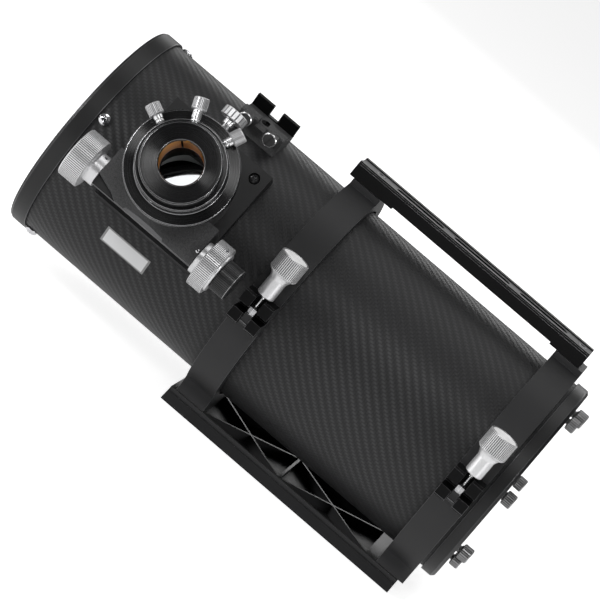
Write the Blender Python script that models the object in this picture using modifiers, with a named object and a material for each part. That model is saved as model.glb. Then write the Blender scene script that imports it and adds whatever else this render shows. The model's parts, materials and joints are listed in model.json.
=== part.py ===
"""Newtonian astrograph: carbon tube in two hinged clamp rings on a dovetail plate.

Metres, +Z up.  The origin is the centre of the dovetail plate's underside, +X runs
along the tube towards the primary mirror (the rear), and the focuser is on the -Y side.
Sizes are in millimetres and are scaled once, in the helpers.

Turned pieces are drawn as profiles: (radius, height along local Z) pairs.
"""

import math

import bmesh
import bpy
from mathutils import Matrix, Vector

METRES_PER_MM = 0.001
GAP = 0.3  # clearance between neighbouring pieces

# Tube: radii about its axis, ends as places along X
AXIS_Z = 112.3
TUBE_R, TUBE_WALL = 89.0, 2.5
TUBE_BORE_R = TUBE_R - TUBE_WALL
TUBE_FRONT_X, TUBE_REAR_X = -286.7, 122.7
TUBE_STEPS = 64

# Clamp rings along X
RING_X = {"front": -94.0, "rear": 103.0}

# Dovetail plate
PLATE_L, PLATE_W, PLATE_H = 223.0, 101.6, 10.3

# Focuser: place along X, and degrees above -Y, square to the tube
FOCUSER_X, FOCUSER_DEG = -193.0, 19.0

# Screw shanks; each hole is wider by GAP
SMALL_SHANK_R = 2.0
FOOT_SHANK_R = 2.8
RAIL_SHANK_R = 2.5
SMALL_HOLE_R = SMALL_SHANK_R + GAP

X_AXIS, Y_AXIS, Z_AXIS = (1, 0, 0), (0, 1, 0), (0, 0, 1)

# base colour, metallic, roughness
FINISHES = {
    "carbon": ((0.035, 0.035, 0.038), 0.0, 0.32),
    "satin_black": ((0.025, 0.025, 0.027), 0.6, 0.42),
    "ring_grey": ((0.06, 0.06, 0.065), 0.5, 0.5),
    "gloss_black": ((0.012, 0.012, 0.013), 0.7, 0.18),
    "textured_black": ((0.045, 0.045, 0.048), 0.1, 0.75),
    "silver": ((0.78, 0.78, 0.8), 0.9, 0.38),
    "steel": ((0.6, 0.6, 0.62), 1.0, 0.3),
    "chrome": ((0.85, 0.85, 0.87), 1.0, 0.08),
    "dark_steel": ((0.08, 0.08, 0.085), 0.9, 0.4),
    "brass": ((0.75, 0.42, 0.12), 1.0, 0.3),
    "felt": ((0.02, 0.02, 0.02), 0.0, 0.95),
    "mirror": ((0.93, 0.94, 0.95), 1.0, 0.02),
    "matte_black": ((0.015, 0.015, 0.015), 0.0, 0.85),
}

# ---------------------------------------------------------------- scene
for old in list(bpy.data.objects):
    bpy.data.objects.remove(old, do_unlink=True)
for group in (bpy.data.meshes, bpy.data.materials, bpy.data.curves, bpy.data.collections):
    for old in list(group):
        group.remove(old)

parts = bpy.data.collections.new("newtonian_astrograph")
tools = bpy.data.collections.new("cutters")
bpy.context.scene.collection.children.link(parts)
bpy.context.scene.collection.children.link(tools)


def material(name, color, metallic, roughness):
    made = bpy.data.materials.new(name)
    made.use_nodes = True
    shader = made.node_tree.nodes["Principled BSDF"]
    shader.inputs["Base Color"].default_value = (*color, 1.0)
    shader.inputs["Metallic"].default_value = metallic
    shader.inputs["Roughness"].default_value = roughness
    made.diffuse_color = (*color, 1.0)
    return made


MATERIALS = {name: material(name, *values) for name, values in FINISHES.items()}


# ---------------------------------------------------------------- frames and curves
def frame(origin, z_axis, x_axis=X_AXIS):
    """A matrix in metres: local Z along z_axis, local X as near x_axis as it can be."""
    z = Vector(z_axis).normalized()
    x = Vector(x_axis)
    x = (x - z * x.dot(z)).normalized()
    made = Matrix((x, z.cross(x), z)).transposed().to_4x4()
    made.translation = Vector(origin) * METRES_PER_MM
    return made


def along_tube(x=0.0, y=0.0, z=0.0):
    """Local Z along +X, local X along +Y and local Y along +Z, from the tube's axis."""
    return frame((x, y, AXIS_Z + z), X_AXIS, Y_AXIS)


def upright(x, y=0.0, z=0.0):
    return frame((x, y, z), Z_AXIS)


def direction(degrees):
    """Square to the tube, this far above -Y."""
    angle = math.radians(degrees)
    return Vector((0, -math.cos(angle), math.sin(angle)))


def around_tube(degrees, x):
    """Local X along the tube, local Z outwards: the frame of a fitting on the tube."""
    return frame((x, 0, AXIS_Z), direction(degrees))


def polar(radius, degrees):
    angle = math.radians(degrees)
    return radius * math.cos(angle), radius * math.sin(angle)


def arc(radius, start, end, count, centre=(0, 0)):
    made = []
    for i in range(count + 1):
        x, y = polar(radius, start + (end - start) * i / count)
        made.append((centre[0] + x, centre[1] + y))
    return made


def rise_deg(height, radius):
    """The angle at which a circle about the origin reaches this height."""
    return math.degrees(math.asin(height / radius))


# ---------------------------------------------------------------- solids
def add_object(name, shape, matrix, slot):
    """Turns the bmesh into an object; without a material slot it is a hidden helper."""
    mesh = bpy.data.meshes.new(name)
    shape.to_mesh(mesh)
    shape.free()
    thing = bpy.data.objects.new(name, mesh)
    thing.matrix_world = matrix
    if slot is None:
        tools.objects.link(thing)
        thing.hide_render = True
        thing.display_type = "WIRE"
    else:
        parts.objects.link(thing)
        mesh.materials.append(MATERIALS[slot])
    return thing


def turned(name, profile, matrix, slot=None, *, steps):
    """A turned piece; the profile runs top to bottom on its outer side."""
    shape = bmesh.new()
    points = [
        shape.verts.new((radius * METRES_PER_MM, 0, height * METRES_PER_MM))
        for radius, height in profile
    ]
    for start, end in zip(points, points[1:]):
        shape.edges.new((start, end))
    on_axis = profile[0][0] == 0 and profile[-1][0] == 0
    if not on_axis:
        shape.edges.new((points[-1], points[0]))
    thing = add_object(name, shape, matrix, slot)
    screw = thing.modifiers.new("turn", "SCREW")
    screw.axis = "Z"
    screw.angle = math.tau
    screw.steps = screw.render_steps = steps
    screw.use_merge_vertices = True
    screw.merge_threshold = 0.00001
    screw.use_smooth_shade = True
    return thing


def rod(name, radius, low, high, matrix, slot=None, *, steps):
    profile = [(0, high), (radius, high), (radius, low), (0, low)]
    return turned(name, profile, matrix, slot, steps=steps)


def sleeve(name, inner, outer, low, high, matrix, slot, *, steps):
    profile = [(inner, high), (outer, high), (outer, low), (inner, low)]
    return turned(name, profile, matrix, slot, steps=steps)


def stepped_bore(name, upper_r, lower_r, top, step, bottom, matrix):
    profile = [
        (0, top), (upper_r, top), (upper_r, step), (lower_r, step), (lower_r, bottom), (0, bottom)
    ]
    return turned(name, profile, matrix, steps=16)


def prism(name, outline, low, high, matrix, slot=None):
    """An outline of (x, y) pairs drawn out along local Z."""
    shape = bmesh.new()
    base_face = shape.faces.new(
        [
            shape.verts.new((x * METRES_PER_MM, y * METRES_PER_MM, low * METRES_PER_MM))
            for x, y in outline
        ]
    )
    made = bmesh.ops.extrude_face_region(shape, geom=[base_face])["geom"]
    bmesh.ops.translate(
        shape,
        verts=[item for item in made if isinstance(item, bmesh.types.BMVert)],
        vec=(0, 0, (high - low) * METRES_PER_MM),
    )
    bmesh.ops.recalc_face_normals(shape, faces=shape.faces)
    return add_object(name, shape, matrix, slot)


def block(name, low, high, matrix=Matrix.Identity(4), slot=None):
    """A box between two opposite corners."""
    shape = bmesh.new()
    bmesh.ops.create_cube(shape, size=1)
    size = [(b - a) * METRES_PER_MM for a, b in zip(low, high)]
    centre = [(a + b) / 2 * METRES_PER_MM for a, b in zip(low, high)]
    bmesh.ops.scale(shape, verts=shape.verts, vec=size)
    bmesh.ops.translate(shape, verts=shape.verts, vec=centre)
    return add_object(name, shape, matrix, slot)


def combine(thing, others, operation):
    for other in others:
        made = thing.modifiers.new(other.name, "BOOLEAN")
        made.operation = operation
        made.object = other
        made.solver = "EXACT"


def cut(thing, *others):
    combine(thing, others, "DIFFERENCE")


def join(thing, *others):
    combine(thing, others, "UNION")


def saddle_cutter(name):
    """Hollows the underside of a fitting to the tube's curve."""
    return rod(name, TUBE_R + GAP, -330, 60, along_tube(), steps=TUBE_STEPS)


# ---------------------------------------------------------------- dovetail plate
RIB_HALF, MID_RIB_X = 1.0, -6.0
WELL_HALF_Y, WELL_FLOOR_Z = 41.0, 2.6
WELL_END_X = (-82.0, 80.0)
NECK_HALF, NECK_Z = 43.5, 7.0  # the plate's upright-sided top
SLOPE_TOP_HALF, EDGE_H = 45.0, 0.8
FOOT_HEAD_BORE_R = 5.6
FOOT_SCREW = [
    (0, 18.3), (FOOT_SHANK_R, 18.3), (FOOT_SHANK_R, 5.7), (5.0, 5.7), (5.0, 0.9), (2.4, 0.9),
    (2.4, 3.4), (0, 3.4),
]


def well_outlines():
    """Triangular hollows left by crossed diagonal ribs, on each side of a middle rib."""
    made = []
    spans = ((WELL_END_X[0], MID_RIB_X - RIB_HALF), (MID_RIB_X + RIB_HALF, WELL_END_X[1]))
    for low, high in spans:
        middle, half = (low + high) / 2, (high - low) / 2
        rib_x = RIB_HALF * math.hypot(half, WELL_HALF_Y) / WELL_HALF_Y
        rib_y = RIB_HALF * math.hypot(half, WELL_HALF_Y) / half
        for sign in (-1, 1):
            made.append([
                (middle + sign * half, -sign * (WELL_HALF_Y - rib_y)),
                (middle + sign * half, sign * (WELL_HALF_Y - rib_y)),
                (middle + sign * rib_x, 0),
            ])
            made.append([
                (middle + sign * (half - rib_x), sign * WELL_HALF_Y),
                (middle - sign * (half - rib_x), sign * WELL_HALF_Y),
                (middle, sign * rib_y),
            ])
    return made


def dovetail_plate():
    half_w = PLATE_W / 2
    plate = prism(
        "dovetail_plate",
        [
            (-half_w, 0), (half_w, 0), (half_w, EDGE_H), (SLOPE_TOP_HALF, NECK_Z),
            (NECK_HALF, NECK_Z), (NECK_HALF, PLATE_H), (-NECK_HALF, PLATE_H),
            (-NECK_HALF, NECK_Z), (-SLOPE_TOP_HALF, NECK_Z), (-half_w, EDGE_H),
        ],
        -PLATE_L / 2, PLATE_L / 2, frame((0, 0, 0), X_AXIS, Y_AXIS), "ring_grey",
    )
    for i, outline in enumerate(well_outlines()):
        cut(plate, prism(f"cut_well_{i}", outline, WELL_FLOOR_Z, 14.0, Matrix.Identity(4)))
    for side, x in RING_X.items():
        cut(plate, stepped_bore(f"cut_foot_screw_{side}", FOOT_SHANK_R + GAP, FOOT_HEAD_BORE_R,
                                14, 6, -2, upright(x)))
        turned(f"foot_screw_{side}", FOOT_SCREW, upright(x), "dark_steel", steps=16)


dovetail_plate()

# ---------------------------------------------------------------- clamp rings
# Seen along the tube from its axis: first coordinate world Y, second height above the axis.
RING_R, RING_BORE_R = 100.3, 90.6
RING_HALF_W = 26.0 / 2
SPLIT_DEG = rise_deg(GAP, RING_R)  # the ring's two halves part at the axis height
BORE_SPLIT_DEG = rise_deg(GAP, RING_BORE_R)
LUG_Y, LUG_CHAMFER = -118.5, 1.5
UPPER_LUG_Z = (GAP, 11.0)
LOWER_LUG_Z = (-15.5, -5.5)
BOLT_Y, PIVOT_Z = -112.0, -10.5
SLOT_HALF, SLOT_INNER_Y = 3.6, -106.8
HINGE_Y, HINGE_R, HINGE_PIN_R = 107.0, 6.0, 2.5
KNUCKLE_ROOT_Y, KNUCKLE_NECK_Y = 98.5, HINGE_Y - HINGE_R * 0.9
MID_KNUCKLE_HALF = 4.2
PAD_HALF, PAD_Z = 17.0, 103.5
FOOT_HALF, FOOT_TOP_Z = 42.5, -97.5
FOOT_FLARE_Y, FOOT_FLARE_Z, FOOT_FLARE_DEG = 45.5, -92.5, 60.0
FELT_HALF_W, FELT_END_DEG = 22.0 / 2, 178.5
CROSS_DRILL = 15  # half the length of the cutters that pass through a ring

BOLT_SHANK = [(0, 40), (1.9, 40), (1.9, 2.0), (0, 2.0)]
BOLT_EYE = (  # (y, height above the axis): flat-sided, with a round lower end
    [(-2.9, 1.2), (-2.9, -10.5)] + arc(3.4, 200, 340, 8, (0, PIVOT_Z))
    + [(2.9, -10.5), (2.9, 1.2), (1.6, 2.7), (-1.6, 2.7)]
)
CLAMP_KNOB = [
    (0, 48.2), (8.8, 48.2), (9.3, 49.6), (10.6, 49.6), (11.75, 48.0), (11.75, 34.4),
    (10.2, 33.0), (7.1, 28.6), (7.1, 13.2), (2.2, 13.2), (2.2, 41.0), (0, 41.0),
]
RAIL_SCREW = [
    (0, 113.4), (2.0, 113.4), (2.0, 116.2), (4.0, 116.2), (4.0, 112.3), (RAIL_SHANK_R, 112.3),
    (RAIL_SHANK_R, 95.2), (0, 95.2),
]


def slot_cutter(name, x, low_z, high_z):
    """Opens a lug for the swing bolt; heights are from the tube's axis."""
    return block(name, (x - SLOT_HALF, LUG_Y - 2, AXIS_Z + low_z),
                 (x + SLOT_HALF, SLOT_INNER_Y, AXIS_Z + high_z))


def hinge_cutter(name, x):
    return rod(name, HINGE_PIN_R + GAP, -CROSS_DRILL, CROSS_DRILL, along_tube(x, HINGE_Y),
               steps=16)


def pivot_cutter(name, x, reach):
    return rod(name, SMALL_HOLE_R, -reach, reach, along_tube(x, BOLT_Y, PIVOT_Z), steps=16)


def upper_ring(side, x):
    lug_deg = rise_deg(UPPER_LUG_Z[1], RING_R)
    pad_deg = math.degrees(math.acos(PAD_HALF / RING_R))
    outline = (
        arc(RING_R, SPLIT_DEG, pad_deg, 12)
        + [(PAD_HALF, PAD_Z), (-PAD_HALF, PAD_Z)]
        + arc(RING_R, 180 - pad_deg, 180 - lug_deg, 12)
        + [(LUG_Y + LUG_CHAMFER, UPPER_LUG_Z[1]), (LUG_Y, UPPER_LUG_Z[1] - LUG_CHAMFER),
           (LUG_Y, UPPER_LUG_Z[0])]
        + arc(RING_BORE_R, 180 - BORE_SPLIT_DEG, BORE_SPLIT_DEG, 24)
    )
    ring = prism(f"ring_upper_{side}", outline, -RING_HALF_W, RING_HALF_W, along_tube(x),
                 "ring_grey")
    knuckle = (
        [(KNUCKLE_ROOT_Y, GAP), (KNUCKLE_NECK_Y, GAP)]
        + arc(HINGE_R, -155, 90, 10, (HINGE_Y, 0))
        + [(KNUCKLE_ROOT_Y, HINGE_R)]
    )
    join(ring, prism(f"add_knuckle_{side}", knuckle, -MID_KNUCKLE_HALF, MID_KNUCKLE_HALF,
                     along_tube(x)))
    cut(
        ring,
        slot_cutter(f"cut_upper_slot_{side}", x, -1, 12),
        hinge_cutter(f"cut_hinge_upper_{side}", x),
        rod(f"cut_rail_screw_{side}", RAIL_SHANK_R + GAP, 94.0, 105.0, upright(x, z=AXIS_Z),
            steps=16),
    )


def lower_ring(side, x):
    lug_top_deg, lug_low_deg = (rise_deg(-z, RING_R) for z in LOWER_LUG_Z[::-1])
    foot_z = PLATE_H + GAP - AXIS_Z
    outline = (
        arc(RING_BORE_R, -BORE_SPLIT_DEG, -180 + BORE_SPLIT_DEG, 24)
        + arc(RING_R, 180 + SPLIT_DEG, 180 + lug_top_deg, 1)
        + [(LUG_Y, LOWER_LUG_Z[1]), (LUG_Y, LOWER_LUG_Z[0] + LUG_CHAMFER),
           (LUG_Y + LUG_CHAMFER, LOWER_LUG_Z[0])]
        + arc(RING_R, 180 + lug_low_deg, 180 + FOOT_FLARE_DEG, 8)
        + [(-FOOT_FLARE_Y, FOOT_FLARE_Z), (-FOOT_HALF, FOOT_TOP_Z), (-FOOT_HALF, foot_z)]
        + [(FOOT_HALF, foot_z), (FOOT_HALF, FOOT_TOP_Z), (FOOT_FLARE_Y, FOOT_FLARE_Z)]
        + arc(RING_R, 360 - FOOT_FLARE_DEG, 360 - SPLIT_DEG, 10)
    )
    ring = prism(f"ring_lower_{side}", outline, -RING_HALF_W, RING_HALF_W, along_tube(x),
                 "ring_grey")
    knuckle = (
        [(KNUCKLE_ROOT_Y, -HINGE_R)]
        + arc(HINGE_R, -90, 155, 10, (HINGE_Y, 0))
        + [(KNUCKLE_NECK_Y, -GAP), (KNUCKLE_ROOT_Y, -GAP)]
    )
    inner = MID_KNUCKLE_HALF + GAP
    for label, low, high in (("a", -RING_HALF_W, -inner), ("b", inner, RING_HALF_W)):
        join(ring, prism(f"add_knuckle_{side}_{label}", knuckle, low, high, along_tube(x)))
    cut(
        ring,
        slot_cutter(f"cut_lower_slot_{side}", x, -18, -1),
        hinge_cutter(f"cut_hinge_lower_{side}", x),
        pivot_cutter(f"cut_pivot_{side}", x, CROSS_DRILL),
        rod(f"cut_foot_{side}", FOOT_SHANK_R + GAP, 8.0, 19.4, upright(x), steps=16),
    )


def swing_bolt(side, x):
    bolt = turned(f"swing_bolt_{side}", BOLT_SHANK, upright(x, BOLT_Y, AXIS_Z), "steel", steps=16)
    join(bolt, prism(f"add_eye_{side}", BOLT_EYE, -3.1, 3.1, along_tube(x, BOLT_Y)))
    cut(bolt, pivot_cutter(f"cut_eye_{side}", x, 5))


def felt(side, x):
    outline = (
        arc(TUBE_R + GAP, -FELT_END_DEG, FELT_END_DEG, 48)[::-1]
        + arc(RING_BORE_R - GAP, -FELT_END_DEG, FELT_END_DEG, 48)
    )
    prism(f"felt_{side}", outline, -FELT_HALF_W, FELT_HALF_W, along_tube(x), "felt")


for side, x in RING_X.items():
    upper_ring(side, x)
    lower_ring(side, x)
    rod(f"hinge_pin_{side}", HINGE_PIN_R, -13.6, 13.6, along_tube(x, HINGE_Y), "steel", steps=16)
    rod(f"clamp_pivot_{side}", SMALL_SHANK_R, -12.8, 12.8, along_tube(x, BOLT_Y, PIVOT_Z),
        "dark_steel", steps=12)
    felt(side, x)
    swing_bolt(side, x)
    turned(f"clamp_knob_{side}", CLAMP_KNOB, upright(x, BOLT_Y, AXIS_Z), "silver", steps=24)
    turned(f"rail_screw_{side}", RAIL_SCREW, upright(x, z=AXIS_Z), "dark_steel", steps=16)

# ---------------------------------------------------------------- top rail
# Heights are from the tube's axis.
RAIL_L, RAIL_HALF, RAIL_CHAMFER = PLATE_L, 16.0, 1.2
RAIL_LOW, RAIL_TOP = PAD_Z + GAP, 117.0
UNDERCUT_X, UNDERCUT_DEPTH = (-71, 83), 1.6
GROOVE_SPANS_X = ((-78, -32), (-22, 32), (42, 88))
GROOVE_HALF, GROOVE_DEPTH = 4.5, 6


def top_rail():
    shoulder = RAIL_TOP - RAIL_CHAMFER
    top_half = RAIL_HALF - RAIL_CHAMFER
    rail = prism(
        "top_rail",
        [
            (-RAIL_HALF, RAIL_LOW), (RAIL_HALF, RAIL_LOW), (RAIL_HALF, shoulder),
            (top_half, RAIL_TOP), (-top_half, RAIL_TOP), (-RAIL_HALF, shoulder),
        ],
        -RAIL_L / 2, RAIL_L / 2, along_tube(), "satin_black",
    )
    low_z, top_z = AXIS_Z + RAIL_LOW, AXIS_Z + RAIL_TOP
    cut(rail, block("cut_rail_under", (UNDERCUT_X[0], -20, low_z - 2),
                    (UNDERCUT_X[1], 20, low_z + UNDERCUT_DEPTH)))
    for i, (start, end) in enumerate(GROOVE_SPANS_X):
        cut(rail, block(f"cut_rail_groove_{i}", (start, -GROOVE_HALF, top_z - GROOVE_DEPTH),
                        (end, GROOVE_HALF, top_z + 2)))
    for side, x in RING_X.items():
        cut(rail, stepped_bore(f"cut_rail_bore_{side}", 4.4, RAIL_SHANK_R + GAP,
                               120, 112, 100, upright(x, z=AXIS_Z)))


top_rail()

# ---------------------------------------------------------------- tube and its ends
PORT_R = 33.0
FRONT_X, FRONT_RING_X, FRONT_RING_R = -290.0, -275.5, 91.2
REAR_X, REAR_RING_X, REAR_RING_R = 130.0, 118.5, 91.0
LINER_R, SLEEVE_R = TUBE_BORE_R - GAP, TUBE_R + GAP  # end rings, inside and outside the wall
FRONT_END_RING = [
    (84.6, FRONT_X + 11), (LINER_R, FRONT_X + 11), (LINER_R, TUBE_FRONT_X - GAP),
    (SLEEVE_R, TUBE_FRONT_X - GAP), (SLEEVE_R, FRONT_RING_X), (FRONT_RING_R, FRONT_RING_X),
    (FRONT_RING_R, FRONT_X + 1.2), (90.0, FRONT_X), (85.6, FRONT_X), (84.6, FRONT_X + 1.0),
]
REAR_SEAT_X = TUBE_REAR_X + GAP
REAR_END_RING = [
    (45.0, REAR_X), (90.0, REAR_X), (REAR_RING_R, REAR_X - 1.0), (REAR_RING_R, REAR_RING_X),
    (SLEEVE_R, REAR_RING_X), (SLEEVE_R, REAR_SEAT_X), (LINER_R, REAR_SEAT_X), (LINER_R, 104.0),
    (83.2, 104.0), (83.2, REAR_SEAT_X), (45.0, REAR_SEAT_X),
]

focuser_frame = around_tube(FOCUSER_DEG, FOCUSER_X)
tube = sleeve("optical_tube", TUBE_BORE_R, TUBE_R, TUBE_FRONT_X, TUBE_REAR_X, along_tube(),
              "carbon", steps=TUBE_STEPS)
cut(tube, rod("cut_tube_port", PORT_R, 60, 110, focuser_frame, steps=40))
turned("front_end_ring", FRONT_END_RING, along_tube(), "satin_black", steps=TUBE_STEPS)
rear_ring = turned("rear_end_ring", REAR_END_RING, along_tube(), "satin_black", steps=TUBE_STEPS)

# ---------------------------------------------------------------- spider
SPIDER_X = (-277.0, -263.0)
SPIDER_CUT_X = (SPIDER_X[0] - 2, SPIDER_X[1] + 2)
HUB_R, VANE_HALF = 17.0, 0.8
TAB_R, TAB_HALF, SPIDER_R = 79.0, 6.0, 85.9
STEM_R = 4.0
VANE_SCREW = [
    (0, 92.6), (2.6, 92.4), (4.4, 91.3), (5.0, 89.4), (SMALL_SHANK_R, 89.4),
    (SMALL_SHANK_R, 81.2), (0, 81.2),
]


def spider_outline():
    """A round hub with four thin vanes, each ending in a wider tab at the tube wall."""
    hub_deg = rise_deg(VANE_HALF, HUB_R)
    root = HUB_R * math.cos(math.radians(hub_deg))
    vane = (  # (distance out, offset across)
        (root, -VANE_HALF), (TAB_R, -VANE_HALF), (TAB_R, -TAB_HALF), (SPIDER_R, -TAB_HALF),
        (SPIDER_R, TAB_HALF), (TAB_R, TAB_HALF), (TAB_R, VANE_HALF), (root, VANE_HALF),
    )
    outline = []
    for k in range(4):
        vane_deg = 180 - FOCUSER_DEG + 90 * k
        out_y, out_z = polar(1, vane_deg)
        for out, across in vane:
            outline.append((out_y * out - out_z * across, out_z * out + out_y * across))
        start = vane_deg + hub_deg
        outline += arc(HUB_R, start, start + 90 - 2 * hub_deg, 6)[1:-1]
    return outline


spider = prism("spider", spider_outline(), *SPIDER_X, along_tube(), "satin_black")
cut(spider, rod("cut_spider_stem", STEM_R + GAP, *SPIDER_CUT_X, along_tube(), steps=16))
for k in range(4):
    here = around_tube(FOCUSER_DEG + 90 * k, sum(SPIDER_X) / 2)
    hole = rod(f"cut_vane_{k + 1}", SMALL_HOLE_R, 80.5, 100, here, steps=12)
    cut(spider, hole)
    cut(tube, hole)
    turned(f"vane_screw_{k + 1}", VANE_SCREW, here, "chrome", steps=16)

# ---------------------------------------------------------------- diagonal mirror
DIAGONAL_R, DIAGONAL_T = 32.0, 9.0
DIAGONAL_BACK_X = FOCUSER_X - DIAGONAL_T * math.sqrt(2)
HOLDER_R, HOLDER_GAP_X, HOLDER_FRONT_X = 29.0, 0.5, -257.0
SECONDARY_PITCH_R = 10.5
SECONDARY_SCREW = [
    (0, -257.3), (2.0, -257.3), (2.0, -277.6), (3.6, -277.6), (3.6, -281.5),
    (1.4, -281.5), (1.4, -279.5), (0, -279.5),
]


def slanted_cylinder(name, radius, ends, slot, count=48):
    """A cylinder about the tube's axis; each end is (x on the axis, 1 if cut at 45 degrees)."""
    facing = direction(FOCUSER_DEG)
    shape = bmesh.new()
    loops = []
    for end_x, slant in ends:
        loop = []
        for i in range(count):
            y, z = polar(radius, 360 * i / count)
            x = end_x - slant * (facing.y * y + facing.z * z)
            loop.append(shape.verts.new(Vector((x, y, AXIS_Z + z)) * METRES_PER_MM))
        loops.append(loop)
    rear, front = loops
    shape.faces.new(rear)
    shape.faces.new(front[::-1])
    for i in range(count):
        j = (i + 1) % count
        shape.faces.new((rear[j], rear[i], front[i], front[j]))
    bmesh.ops.recalc_face_normals(shape, faces=shape.faces)
    return add_object(name, shape, Matrix.Identity(4), slot)


slanted_cylinder("secondary_mirror", DIAGONAL_R, ((FOCUSER_X, 1), (DIAGONAL_BACK_X, 1)), "mirror")
holder = slanted_cylinder(
    "secondary_holder", HOLDER_R, ((DIAGONAL_BACK_X - HOLDER_GAP_X, 1), (HOLDER_FRONT_X, 0)),
    "matte_black",
)
join(holder, rod("add_holder_stem", STEM_R, -282.0, -250.0, along_tube(), steps=16))
for k in range(3):
    here = along_tube(0, *polar(SECONDARY_PITCH_R, 90 + 120 * k))
    cut(spider, rod(f"cut_secondary_{k + 1}", SMALL_HOLE_R, *SPIDER_CUT_X, here, steps=12))
    turned(f"secondary_screw_{k + 1}", SECONDARY_SCREW, here, "dark_steel", steps=12)

# ---------------------------------------------------------------- focuser
# In the focuser's frame local X is along the tube and heights are from the tube's axis.
BASE_HALF, BASE_LOW, BASE_TOP = 46.0, 78.0, 101.0
BASE_SCREW_X, BASE_SCREW_Y = 36.0, 37.0
BODY_LOW, HOUSING_R, HOUSING_TOP = BASE_TOP + GAP, 37.0, 150.0
DRAW_R, DRAW_BORE_R = 30.0, 27.0
PINION_Y, PINION_HEIGHT, ROLLER_R = -35.1, 128.0, 6.0
LOCK_HEIGHT, LOCK_SHANK_R = 138.0, 3.0
EYEPIECE_R = 16.0
THUMB_SHANK_R = 2.2

BODY_OUTLINE = [  # (local y, height)
    (-BASE_HALF, BODY_LOW), (-13.0, BODY_LOW), (-13.0, 141.0), (-40.0, 141.0),
    (-BASE_HALF, 134.0),
]
BASE_SCREW = [
    (0, 98.6), (1.3, 99.6), (2.6, 99.9), (4.0, 99.6), (4.0, 97.3), (2.0, 97.3), (2.0, 76.5),
    (0, 76.5),
]
CLAMP_FLANGE = [
    (25.7, 184.0), (32.3, 184.0), (33.5, 182.8), (33.5, 173.6), (38.5, 172.6), (42.0, 170.6),
    (42.0, 163.0), (40.5, 160.3), (30.3, 160.3), (30.3, 166.3), (25.7, 166.3),
]
EYEPIECE_ADAPTER = [
    (EYEPIECE_R, 189.6), (25.6, 192.2), (29.2, 192.2), (30.2, 191.2), (30.2, 184.3),
    (25.4, 184.3), (25.4, 150.0), (EYEPIECE_R, 150.0), (EYEPIECE_R, 161.7), (17.3, 161.7),
    (17.3, 188.6), (EYEPIECE_R, 188.6),
]
LOCK_KNOB = [
    (0, 60.2), (8.8, 60.2), (10.0, 59.2), (10.0, 54.0), (9.2, 53.2), (4.4, 53.2), (4.4, 48.5),
    (LOCK_SHANK_R, 48.5), (LOCK_SHANK_R, 30.7), (0, 30.7),
]
PINION_PIECES = (  # name, material, steps, profile
    ("pinion_shaft", "steel", 16, [
        (0, 77.0), (2.5, 77.0), (2.5, 65.2), (4.0, 65.2), (4.0, 45.5), (ROLLER_R, 45.5),
        (ROLLER_R, -45.5), (4.0, -45.5), (4.0, -69.0), (0, -69.0),
    ]),
    ("coarse_knob_left", "silver", 32, [
        (4.3, -46.4), (12.2, -46.4), (12.2, -54.2), (19.2, -55.0), (20.2, -56.2), (20.2, -69.6),
        (18.6, -71.3), (10.0, -71.3), (9.0, -70.4), (0, -70.4), (0, -69.4), (4.3, -69.4),
    ]),
    ("coarse_knob_right", "silver", 32, [
        (4.3, 65.4), (15.6, 65.4), (16.4, 64.6), (18.8, 64.6), (20.2, 63.2), (20.2, 52.2),
        (19.2, 51.2), (13.2, 50.4), (13.2, 46.4), (4.3, 46.4),
    ]),
    ("fine_knob", "gloss_black", 28, [
        (0, 79.4), (12.0, 79.4), (12.9, 78.4), (12.9, 66.6), (12.3, 65.9), (2.8, 65.9),
        (2.8, 77.4), (0, 77.4),
    ]),
)

base_screw_frame = focuser_frame @ frame((BASE_SCREW_X, BASE_SCREW_Y, 0), Z_AXIS)
pinion_frame = focuser_frame @ frame((0, PINION_Y, PINION_HEIGHT), X_AXIS, Y_AXIS)
lock_frame = focuser_frame @ frame((0, 0, LOCK_HEIGHT), Y_AXIS, Z_AXIS)

base = block("focuser_base", (-BASE_HALF, -BASE_HALF, BASE_LOW), (BASE_HALF, BASE_HALF, BASE_TOP),
             focuser_frame, "satin_black")
cut(
    base,
    saddle_cutter("cut_base_saddle"),
    rod("cut_base_port", PORT_R, 60, 110, focuser_frame, steps=40),
    stepped_bore("cut_base_screw", 4.4, SMALL_HOLE_R, 104, 97.0, 72, base_screw_frame),
)
cut(tube, rod("cut_tube_base_screw", SMALL_HOLE_R, 70, 95, base_screw_frame, steps=12))
turned("base_screw", BASE_SCREW, base_screw_frame, "dark_steel", steps=16)

body = prism("focuser_body", BODY_OUTLINE, -BASE_HALF, BASE_HALF,
             focuser_frame @ frame((0, 0, 0), X_AXIS, Y_AXIS), "textured_black")
join(body, rod("add_housing", HOUSING_R, BODY_LOW, HOUSING_TOP, focuser_frame, steps=40))
cut(
    body,
    rod("cut_housing_bore", DRAW_R + GAP, 95, 160, focuser_frame, steps=40),
    rod("cut_pinion_bore", ROLLER_R + 0.35, -60, 60, pinion_frame, steps=24),
    rod("cut_lock_bore", LOCK_SHANK_R + GAP, 25, 60, lock_frame, steps=16),
)

draw = sleeve("drawtube", DRAW_BORE_R, DRAW_R, 72.0, 166.0, focuser_frame, "satin_black",
              steps=40)
# The flat clears the pinion roller.
cut(draw, block("cut_draw_flat", (-20, -40, 60), (20, PINION_Y + ROLLER_R + 0.1, 158.0),
                focuser_frame))

flange = turned("clamp_flange", CLAMP_FLANGE, focuser_frame, "gloss_black", steps=40)
adapter = turned("eyepiece_adapter", EYEPIECE_ADAPTER, focuser_frame, "gloss_black", steps=40)
sleeve("compression_ring", 16.15, 17.0, 162.0, 188.3, focuser_frame, "brass", steps=32)

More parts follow.
